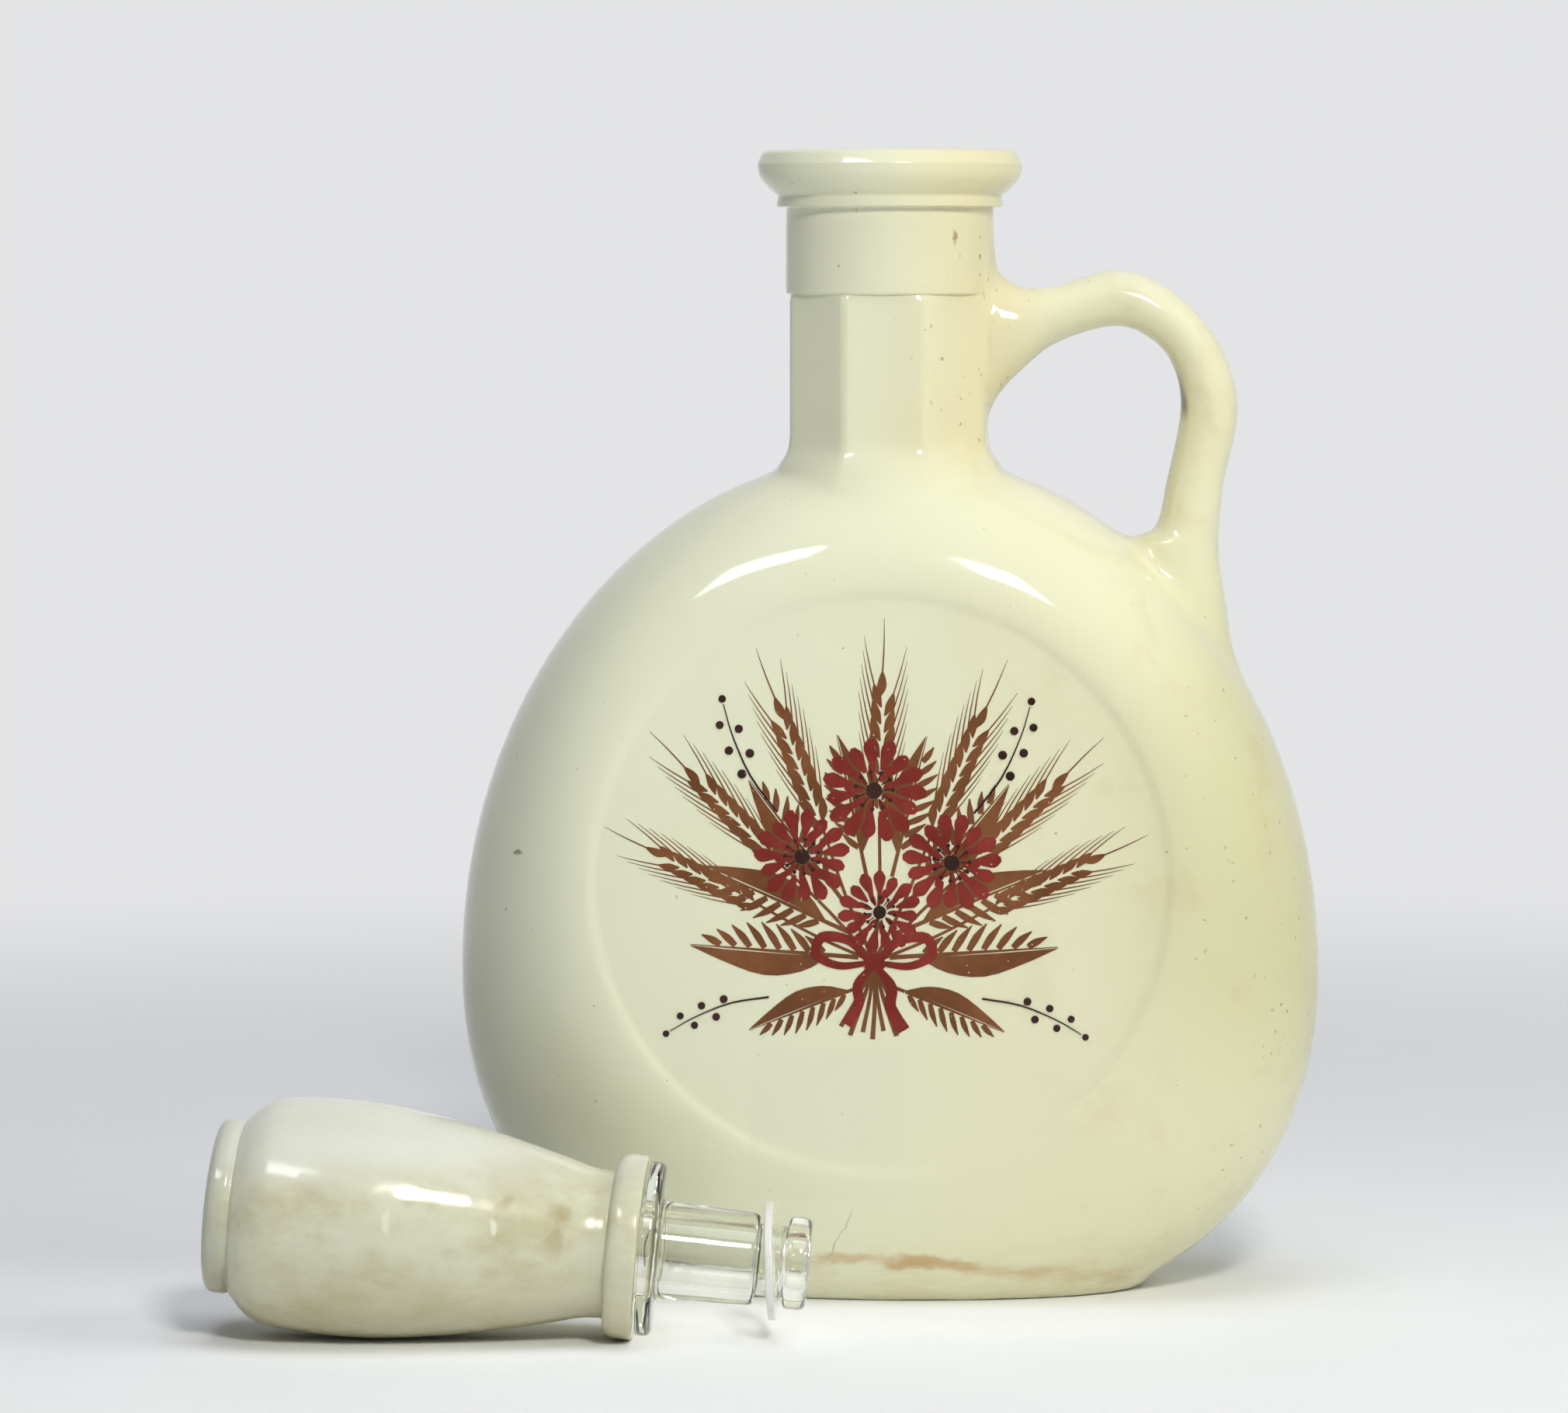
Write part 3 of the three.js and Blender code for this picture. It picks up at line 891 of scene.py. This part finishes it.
def rust_specks(tree, place, ragged):
    """Rust specks in clusters, most of them on the right flank and the handle side of the neck."""
    x, _, z = split(tree, place)
    cluster = rise(tree, noise(tree, place, 70, 3), 0.38, 0.62)
    flank = product(tree, rise(tree, x, 0.045, 0.07), fall(tree, z, 0.1, 0.14), 0.8)
    below_lip = fall(tree, z, 0.192, 0.2)
    throat = product(tree, neck_side(tree, x, z), fall(tree, x, 0.024, 0.034), below_lip)
    rusty = product(tree, cluster, maths(tree, "MAXIMUM", throat, flank))
    share = maths(tree, "MULTIPLY_ADD", rusty, 0.95, 0.025)
    coarse = specks(tree, ragged, 190, 0.07, share)
    fine = product(tree, specks(tree, ragged, 600, 0.2, share), 0.8)
    return maths(tree, "MAXIMUM", coarse, fine)


def stained_foot(tree, place, colour):
    """Lays a tide line, blots and a darkening towards the bottom along the foot; returns the colour and
    the line.
    """
    x, y, z = split(tree, place)
    past_middle = maths(tree, "MAXIMUM", maths(tree, "SUBTRACT", x, 0.005), 0.0)
    run = maths(tree, "MULTIPLY_ADD", past_middle, -0.11, 0.008)
    off_run = maths(tree, "ABSOLUTE", maths(tree, "SUBTRACT", z, run))
    tide = noise(tree, stretched(tree, place, 1, 1, 4), 110, 4, 0.6)
    line = fall(tree, maths(tree, "MULTIPLY_ADD", tide, -0.0022, off_run), -0.0011, 0.0011)
    stain = product(tree, line, between(tree, x, -0.018, 0.047, 0.006), on_front(tree, y))
    broken = product(tree, stain, rise(tree, tide, 0.3, 0.7))
    colour = tinted(tree, colour, broken, 0.4, TIDE_BROWN)
    blotted = wavering(tree, place, 170, 0.005)
    for centre, reach, strength in FOOT_STAINS:
        colour = tinted(tree, colour, spot(tree, blotted, centre, reach), strength, FOOT_BROWN)
    # darker towards the bottom, broken up by the tide noise
    darker_low = product(tree, fall(tree, z, 0.004, 0.014), rise(tree, tide, 0.35, 0.75))
    return tinted(tree, colour, darker_low, 0.35, FOOT_DARKENED), stain


def paper_ghost(tree, place):
    """The pale square that a piece of paper left on the lower front."""
    x, y, z = split(tree, place)
    across = between(tree, x, -0.0235, 0.0045, 0.0003)
    upwards = between(tree, z, 0.0195, 0.0472, 0.0003)
    return product(tree, across, upwards, on_front(tree, y))


def hairline(tree, place):
    """A leaning hairline crack near the foot."""
    x, y, z = split(tree, place)
    lean = maths(tree, "MULTIPLY_ADD", z, 0.5, -0.0137)
    off_lean = maths(tree, "SUBTRACT", x, lean)
    wobble = maths(tree, "MULTIPLY_ADD", noise(tree, place, 260), 0.0016, off_lean)
    off_line = maths(tree, "ABSOLUTE", maths(tree, "ADD", wobble, -0.0008))
    line = fall(tree, off_line, 0.00005, 0.00022)
    return product(tree, line, between(tree, z, 0.0085, 0.0175, 0.0012), on_front(tree, y))


def loop_inner_line(tree, place):
    """A dark line along the inner edge of the handle's loop."""
    x, y, z = split(tree, place)
    sockets = {"Vector": place, "Location": HANDLE_LOOP_CENTRE, "Scale": (1, ANY_DEPTH, 1)}
    loop = put(tree, "ShaderNodeMapping", sockets, vector_type="TEXTURE").outputs[0]
    inner = fall(tree, length_of(tree, loop), 0.0172, 0.0186)
    across = between(tree, y, -0.0044, 0.0024, 0.0008)
    upwards = between(tree, z, 0.161, 0.177, 0.002)
    return product(tree, inner, across, upwards, rise(tree, x, 0.042, 0.05))


def bottle_coat():
    """Fired cream coat: yellowed, clouded, with painted shade on its flanks, specked with rust, stained at
    the foot and worn.
    """
    material, tree, principled = shader("bottle_coat")
    place = object_place(tree)
    ragged = wavering(tree, place, 900, 0.0012)
    rust = rust_specks(tree, place, ragged)
    colour = tinted(tree, aged_cream(tree, place), rust, 0.85, RUST)
    for centre, reach in COLLAR_SPOTS:
        colour = tinted(tree, colour, spot(tree, ragged, centre, reach), 0.7, COLLAR_BROWN)
    colour, stain = stained_foot(tree, place, colour)
    colour = tinted(tree, colour, paper_ghost(tree, place), 0.4, GHOST_PALE)
    colour = tinted(tree, colour, hairline(tree, place), 0.4, HAIRLINE_GREY)
    chip = spot(tree, ragged, *CHIP)
    colour = tinted(tree, colour, chip, 0.85, CHIP_DARK)
    # a dark line along the inner edge of the handle's loop
    colour = tinted(tree, colour, loop_inner_line(tree, place), 0.8, LOOP_LINE_DARK)
    worn = maths(tree, "MAXIMUM", maths(tree, "MAXIMUM", rust, stain), chip)
    sheen = rise(tree, noise(tree, place, 35, 3), 0.3, 0.7, 0.05)
    polish = maths(tree, "ADD", sheen, 0.06)
    paint(tree, principled, colour, maths(tree, "MULTIPLY_ADD", worn, 0.25, polish))
    ripple(tree, principled, noise(tree, place, 45, 1), 0.12, 0.001)
    return material


def knob_coat():
    """The same coat on the knob, mottled beige by handling, with brown streaks at its waist, a painted
    reflection on its top and painted shade on its end disc and underside.
    """
    material, tree, principled = shader("knob_coat")
    place = object_place(tree)
    x, _, z = split(tree, place)
    along = stretched(tree, place, 0.6, 1, 1)
    patches = noise(tree, along, 62, 6, 0.62)
    grain = noise(tree, along, 210, 4, 0.6)
    colour = mixed(tree, noise(tree, place, 25, 3), tone(*KNOB_CREAM), tone(*KNOB_CLOUD))
    colour = tinted(tree, colour, rise(tree, patches, 0.4, 0.68), 0.72, KNOB_MOTTLE)
    colour = tinted(tree, colour, rise(tree, grain, 0.5, 0.75), 0.25, KNOB_GRAIN)
    # painted reflection: the top of the knob is lightened and greyed as if it mirrored the backdrop
    colour = tinted(tree, colour, rise(tree, z, 0.026, 0.036), 0.8, KNOB_TOP_REFLECTION)
    # painted shade: the knob's end disc is darkened to stand in for the shade on it
    colour = tinted(tree, colour, fall(tree, x, -0.1135, -0.1095), 0.7, KNOB_END_SHADE)
    # painted shade: the underside of the knob is darkened and warmed to stand in for the shade and warm
    # bounce there
    colour = tinted(tree, colour, fall(tree, z, 0.004, 0.02), 0.35, KNOB_UNDER_SHADE)
    warped = wavering(tree, place, 160, 0.006)
    for centre, reach, strength in KNOB_STREAKS:
        colour = tinted(tree, colour, spot(tree, warped, centre, reach), strength, STREAK_BROWN)
    for centre, reach in KNOB_SCUFFS:
        colour = tinted(tree, colour, spot(tree, warped, centre, reach), 0.7, SCUFF_PALE)
    sheen = rise(tree, patches, 0.4, 0.65, 0.2)
    paint(tree, principled, colour, maths(tree, "ADD", sheen, 0.07))
    ripple(tree, principled, noise(tree, place, 80, 2), 0.28, 0.001)
    return material


def bottle_inside():
    """The filmed wall inside the bottle and its bore."""
    material, tree, principled = shader("bottle_inside")
    film = noise(tree, object_place(tree), 40, 4)
    colour = mixed(tree, film, tone(*INSIDE_PALE), tone(*INSIDE_DULL))
    paint(tree, principled, colour, rise(tree, film, 0.2, 0.8, 0.4))
    return material


def clear_glass():
    """Clear pressed glass with a faint ripple, a slight tint and one dark seed near the flange."""
    material, tree, principled = shader("clear_glass", IOR=1.5, Transmission_Weight=1.0)
    place = object_place(tree)
    haze = noise(tree, place, 120, 3)
    seed = spot(tree, place, *GLASS_SEED)
    colour = mixed(tree, seed, mixed(tree, haze, GLASS_CLEAR, GLASS_HAZY), tone(*SEED_BROWN))
    paint(tree, principled, colour, rise(tree, haze, 0.45, 0.8, 0.06))
    ripple(tree, principled, noise(tree, stretched(tree, place, 0.4, 1, 1), 160, 1), 0.08, 0.001)
    return material


def washer_plastic():
    """Milky soft plastic, a little clouded."""
    material, tree, principled = shader("washer_plastic", IOR=1.45, Transmission_Weight=0.15)
    cloud = noise(tree, object_place(tree), 180, 4)
    colour = mixed(tree, cloud, tone(*WASHER_PALE), tone(*WASHER_DULL))
    paint(tree, principled, colour, rise(tree, cloud, 0.2, 0.9, 0.5))
    return material


def ink(name, screen_colour):
    """Printing ink on the coat: uneven in depth, with pinholes and rubbed patches."""
    material, tree, principled = shader(name, Specular_IOR_Level=0.2)
    place = object_place(tree)
    depth = noise(tree, place, 90, 5, 0.6)
    full = tone(*screen_colour)
    thin = (*[min(1, level * 1.55 + 0.012) for level in full[:3]], 1)
    colour = mixed(tree, rise(tree, depth, 0.35, 0.75), full, thin)
    pinholes = specks(tree, place, 700, 0.16, 0.3)
    rubbed = rise(tree, noise(tree, place, 420, 4, 0.7), 0.66, 0.8, 0.6)
    worn = maths(tree, "MAXIMUM", pinholes, rubbed)
    colour = mixed(tree, worn, colour, tone(*INK_RUBBED))
    paint(tree, principled, colour, rise(tree, depth, 0.2, 0.9, 0.35))
    return material


# Printed spray of barley, flowers and leaves on the front panel

def stroke(name, spine, steps=3):
    """A flat tapering stroke facing the front: an edge extruded along x, z and width, in millimetres."""
    path = smooth_curve([Vector(row) * MM for row in spine], steps)
    turns = []
    for i in range(len(path)):
        ahead = path[min(i + 1, len(path) - 1)] - path[max(i - 1, 0)]
        turns.append(math.atan2(ahead[1], ahead[0]) - QUARTER_TURN)
    piece = start(name, bpy.ops.mesh.primitive_plane_add, size=MM)
    edit(piece)
    bpy.ops.mesh.merge(type="CENTER")
    centre = Vector((path[0][0], 0, path[0][1]))
    width = max(path[0][2], FINEST_LINE)
    across = Vector((math.cos(turns[0]), 0, math.sin(turns[0]))) * width
    bpy.ops.transform.translate(value=centre - across / 2)
    bpy.ops.mesh.extrude_vertices_move(TRANSFORM_OT_translate={"value": across})
    bpy.ops.mesh.select_all(action="SELECT")
    for i in range(1, len(path)):
        new_centre = Vector((path[i][0], 0, path[i][1]))
        new_width = max(path[i][2], FINEST_LINE)
        bpy.ops.mesh.extrude_edges_move(TRANSFORM_OT_translate={"value": new_centre - centre})
        swing = math.remainder(turns[i] - turns[i - 1], FULL_TURN)
        bpy.ops.transform.rotate(value=swing, orient_axis="Y", center_override=new_centre)
        bpy.ops.transform.resize(value=[new_width / width] * 3, center_override=new_centre)
        centre, width = new_centre, new_width
    leave_edit()
    return piece


def dot(name, x, z, radius):
    return start(
        name, bpy.ops.mesh.primitive_circle_add, vertices=14, radius=radius * MM, fill_type="NGON",
        location=(x * MM, 0, z * MM), rotation=(QUARTER_TURN, 0, 0),
    )


def copy_of(source, x=0, z=0, turn=0, size=1, mirrored=False):
    """A copy with its own mesh, turned clockwise by degrees as the front is seen."""
    twin = source.copy()
    twin.data = source.data.copy()
    bpy.context.scene.collection.objects.link(twin)
    flip = -1 if mirrored else 1
    twin.matrix_world = (
        Matrix.Translation((x * MM, 0, z * MM)) @ Matrix.Rotation(math.radians(turn), 4, "Y")
        @ Matrix.Diagonal((flip * size, 1, size, 1))
    )
    return twin


def joined(name, pieces, rise_by=FINE_LAYER):
    """Joins flat pieces, each lying a hair higher than the one before so that none share a plane."""
    bpy.ops.object.select_all(action="DESELECT")
    for layer, piece in enumerate(pieces):
        piece.location.y -= layer * rise_by
        piece.select_set(True)
    bpy.context.view_layer.objects.active = pieces[0]
    bpy.ops.object.join()
    whole = bpy.context.object
    whole.name = whole.data.name = name
    bpy.ops.object.transform_apply(location=True, rotation=True, scale=True)
    return whole


def barley_ear():
    """An ear on its straw, with the foot of the straw at the origin and the ear upwards."""
    straw_length, pairs, pitch = 25, 7, 2.9
    straw = stroke("straw", ((0, 0, 0.7), (0.5, straw_length / 2, 0.6), (0, straw_length, 0.5)))
    grain = stroke("grain", ((0.35, 0, 0.3), (1.25, 1.9, 1.7), (1.75, 3.6, 1.1), (2.0, 4.8, 0.1)))
    awn = stroke("awn", ((2.0, 4.6, 0.3), (3.2, 9, 0.22), (4.3, 14, 0.06)))
    pair = joined("grain", [grain, awn])
    ear = [straw]
    for i in range(pairs):
        height, size = straw_length + i * pitch, 1 - 0.035 * abs(i - 2)
        ear.append(copy_of(pair, 0, height, 0, size))
        ear.append(copy_of(pair, 0, height + pitch / 2, 0, size, mirrored=True))
    ear.append(copy_of(pair, -1.1, straw_length + pairs * pitch, -14, 0.95))
    bpy.data.objects.remove(pair)
    return joined("ear", ear)


def leaf():
    """A pointed leaf, solid on one side of its rib and veined on the other."""
    length, half_width, veins = 25, 4.4, 8
    blade = stroke("blade", (
        (-0.2, 1, 0.1), (-1.7, 6, 2.9), (-2.25, 12, 3.9), (-1.3, 19, 2.1), (-0.1, 25, 0.06),
    ))
    rib = stroke("rib", ((0.1, -4, 0.8), (0.1, 8, 0.6), (0.1, 25, 0.1)))
    parts = [blade, rib]
    for i in range(veins):
        foot = 2 + i * 2.55
        reach = half_width * math.sin(math.pi * min(1, (foot + 2.2) / length) ** 0.9)
        parts.append(stroke("vein", (
            (0.5, foot, 1.0), (0.5 + reach * 0.5, foot + 1.5, 1.25), (0.5 + reach, foot + 3.4, 0.2),
        )))
    return joined("leaf", parts)


def bloom():
    """The petals of an open flower, as two rings of strokes."""
    outer_petals, inner_petals, short_petal = 15, 9, 0.91
    outer = stroke("petal", ((0, 3.9, 0.5), (0, 5.8, 1.8), (0, 8.0, 2.75), (0.2, 9.4, 0.9)))
    inner = stroke("petal", ((0, 1.9, 0.4), (0, 3.0, 1.15), (0.1, 4.6, 1.0), (0.2, 5.4, 0.2)))
    petals = []
    for i in range(outer_petals):
        size = short_petal if i % 3 == 1 else 1
        petals.append(copy_of(outer, turn=360 / outer_petals * i, size=size))
    for i in range(inner_petals):
        petals.append(copy_of(inner, turn=360 / inner_petals * (i + 0.3)))
    bpy.data.objects.remove(outer)
    bpy.data.objects.remove(inner)
    return joined("bloom", petals)


def bloom_heart():
    """The dark heart of a flower: a round eye with a ring of stamens."""
    stamens = 11
    eye = dot("eye", 0, 0, 1.5)
    thread = stroke("thread", ((0, 1.7, 0.2), (0.1, 3.2, 0.25)))
    stamen = joined("stamen", [thread, dot("tip", 0.1, 3.4, 0.38)])
    parts = [eye] + [copy_of(stamen, turn=360 / stamens * i) for i in range(stamens)]
    bpy.data.objects.remove(stamen)
    return joined("heart", parts)


def berry_sprig():
    """A curved twig with round berries on both sides."""
    twig = stroke("twig", ((0, 0, 0.5), (-0.8, 10, 0.42), (0.6, 20, 0.3), (2.6, 27, 0.2)))
    berries = [(-2.2, 11.5), (1.8, 14.5), (-1.9, 17.5), (2.6, 20.5), (-0.6, 23.5), (3.0, 28.2)]
    return joined("sprig", [twig] + [dot("berry", x, z, 1.15 - 0.01 * z) for x, z in berries])


def bow():
    """A ribbon bow: a knot, two loops and two tails."""
    loop = stroke("loop", (
        (1.2, 0.5, 1.2), (4.6, 3.9, 1.7), (9.4, 4.4, 1.9),
        (10.4, 1.2, 1.6), (6.4, -0.7, 1.4), (1.6, -0.3, 1),
    ), RIBBON_STEPS)
    tail = stroke("tail", (
        (0.9, -1.4, 1.3), (3.2, -4.6, 1.9), (3.0, -8.2, 2.1), (5.4, -12.4, 2.4),
    ), RIBBON_STEPS)
    knot = stroke("knot", ((-1.9, 0, 2.2), (0, 0, 3.2), (1.9, 0, 2.2)))
    far_loop = copy_of(loop, mirrored=True)
    far_tail = copy_of(tail, mirrored=True, size=0.92)
    return joined("bow", [knot, far_loop, far_tail, loop, tail])


def spread(motif, places):
    """Copies of a motif at x, z, turn, size and whether mirrored; the first model itself is removed."""
    copies = [copy_of(motif, *place) for place in places]
    bpy.data.objects.remove(motif)
    return copies


def printed(name, copies, thickness, material):
    """One ink of the print, as a thin film on the panel."""
    film = joined(name, copies, COARSE_LAYER)
    apply_modifier(film, "SOLIDIFY", thickness=thickness, offset=0)
    edit(film)
    face_outwards()
    bpy.ops.transform.translate(value=(0, PRINT_Y, 0))
    leave_edit()
    film.data.materials.append(material)
    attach(film, "bottle")


def panel_print():
    """The whole print, ink by ink: brown below, then red, then dark."""
    tie_x, tie_z = PRINT_TIE
    ears = spread(barley_ear(), [(tie_x, tie_z, *ear) for ear in EARS])
    leaves = spread(leaf(), LEAVES)
    stem = stroke("stem", ((0, 0, 0.8), (0.3, -7, 0.7), (0, -14, 0.9)))
    stems = spread(stem, [(tie_x, tie_z, turn, size, turn < 0) for turn, size in STEMS])
    printed("print_brown", ears + leaves + stems, BROWN_FILM, ink("brown_ink", INK_BROWN))
    bows = spread(bow(), [(tie_x, tie_z)])
    blooms = spread(bloom(), BLOOMS)
    printed("print_red", blooms + bows, RED_FILM, ink("red_ink", INK_RED))
    sprigs = spread(berry_sprig(), SPRIGS)
    hearts = spread(bloom_heart(), BLOOMS)
    printed("print_dark", hearts + sprigs, DARK_FILM, ink("dark_ink", INK_DARK))


# Finishing

def dress(piece, materials, body, node):
    """Finishes a piece: its materials, the body that it rides on and the node that it stands for."""
    piece.data.materials.clear()
    for material in materials:
        piece.data.materials.append(material)
    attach(piece, body)
    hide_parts(node)


# Stage

def camera():
    """The camera at the photograph's viewing angle."""
    data = bpy.data.cameras.new("camera")
    data.sensor_width = SENSOR_WIDTH
    data.lens = FOCAL_PIXELS / IMAGE_SIZE[0] * SENSOR_WIDTH
    view = bpy.data.objects.new("camera", data)
    bpy.context.scene.collection.objects.link(view)
    view.location = (
        CAMERA_DISTANCE * math.sin(CAMERA_AZIMUTH),
        -CAMERA_DISTANCE * math.cos(CAMERA_AZIMUTH),
        CAMERA_HEIGHT,
    )
    pitch = math.atan((IMAGE_SIZE[1] / 2 - HORIZON_ROW) / FOCAL_PIXELS)
    swing = math.atan((AXIS_COLUMN - IMAGE_SIZE[0] / 2) / FOCAL_PIXELS)
    view.rotation_euler = (QUARTER_TURN - pitch, 0, CAMERA_AZIMUTH + swing)
    bpy.context.scene.camera = view


def lamp(name, azimuth, elevation, distance, size, power, colour, mirrored, lighting):
    """A soft box that faces the bottle; azimuth is from the front towards the handle side."""
    data = bpy.data.lights.new(name, "AREA")
    data.shape = "RECTANGLE"
    data.size, data.size_y = size
    data.energy = power
    data.color = colour
    light = bpy.data.objects.new(name, data)
    bpy.context.scene.collection.objects.link(light)
    turn, lift = math.radians(azimuth), math.radians(elevation)
    away = Vector((math.cos(lift) * math.sin(turn), -math.cos(lift) * math.cos(turn), math.sin(lift)))
    light.location = LAMP_TARGET + away * distance
    light.rotation_euler = away.to_track_quat("Z", "Y").to_euler()
    light.visible_glossy = mirrored
    light.visible_diffuse = lighting


def seen(tree):
    """One for rays that show the backdrop: straight to the camera, mirrored or through glass."""
    path = put(tree, "ShaderNodeLightPath", {}).outputs
    shown = maths(tree, "MAXIMUM", path["Is Camera Ray"], path["Is Glossy Ray"])
    return maths(tree, "MAXIMUM", shown, path["Is Transmission Ray"])


def floor():
    """A plain pale floor that fades into the backdrop far from the object."""
    plane = start("floor", bpy.ops.mesh.primitive_plane_add, size=FLOOR_SIZE)
    material, tree, principled = shader("pale_floor", Roughness=0.85)
    place = object_place(tree)
    colour = mixed(tree, noise(tree, place, 30, 5), tone(*FLOOR_PALE), tone(*FLOOR_DULL))
    tree.links.new(colour, principled.inputs["Base Color"])
    far = product(tree, rise(tree, length_of(tree, place), 0.2, 0.8), seen(tree))
    glow = put(tree, "ShaderNodeEmission", {"Color": BACKDROP})
    both = put(tree, "ShaderNodeMixShader", {0: far, 1: principled.outputs[0], 2: glow.outputs[0]})
    tree.links.new(both.outputs[0], tree.nodes["Material Output"].inputs["Surface"])
    plane.data.materials.append(material)


def world():
    """A pale backdrop all round, with a dimmer light of its own on the object."""
    made = bpy.data.worlds.new("studio")
    bpy.context.scene.world = made
    made.use_nodes = True
    tree = made.node_tree
    shown = tree.nodes["Background"]
    shown.inputs["Color"].default_value = BACKDROP
    ambient = put(tree, "ShaderNodeBackground", {"Color": AMBIENT, "Strength": AMBIENT_STRENGTH})
    both = put(tree, "ShaderNodeMixShader", {0: seen(tree), 1: ambient.outputs[0], 2: shown.outputs[0]})
    tree.links.new(both.outputs[0], tree.nodes["World Output"].inputs["Surface"])


bpy.context.scene.view_settings.view_transform = "Standard"
camera()
world()
floor()
for soft_box in LAMPS:
    lamp(*soft_box)
panel_print()

lying = stopper_place()
head = knob()
lay(head, lying)
shade(head)
dress(head, [knob_coat()], "stopper", "stopper_head")
plug = turned("clear_plug", softened(PLUG_PROFILE, closed=True))
lay(plug, lying)
shade(plug)
plug.visible_shadow = plug.visible_diffuse = False
dress(plug, [clear_glass()], "stopper", "stopper_plug")
seal = turned("seal_ring", softened(WASHER_PROFILE, closed=True))
lay(seal, lying @ Matrix.Translation((0, 0, WASHER_H)) @ Matrix.Rotation(-WASHER_SKEW, 4, "Y"))
shade(seal)
dress(seal, [washer_plastic()], "washer", "seal_washer")
coat = bottle_coat()
dress(bottle(), [coat, coat, bottle_inside()], "bottle", "bottle")
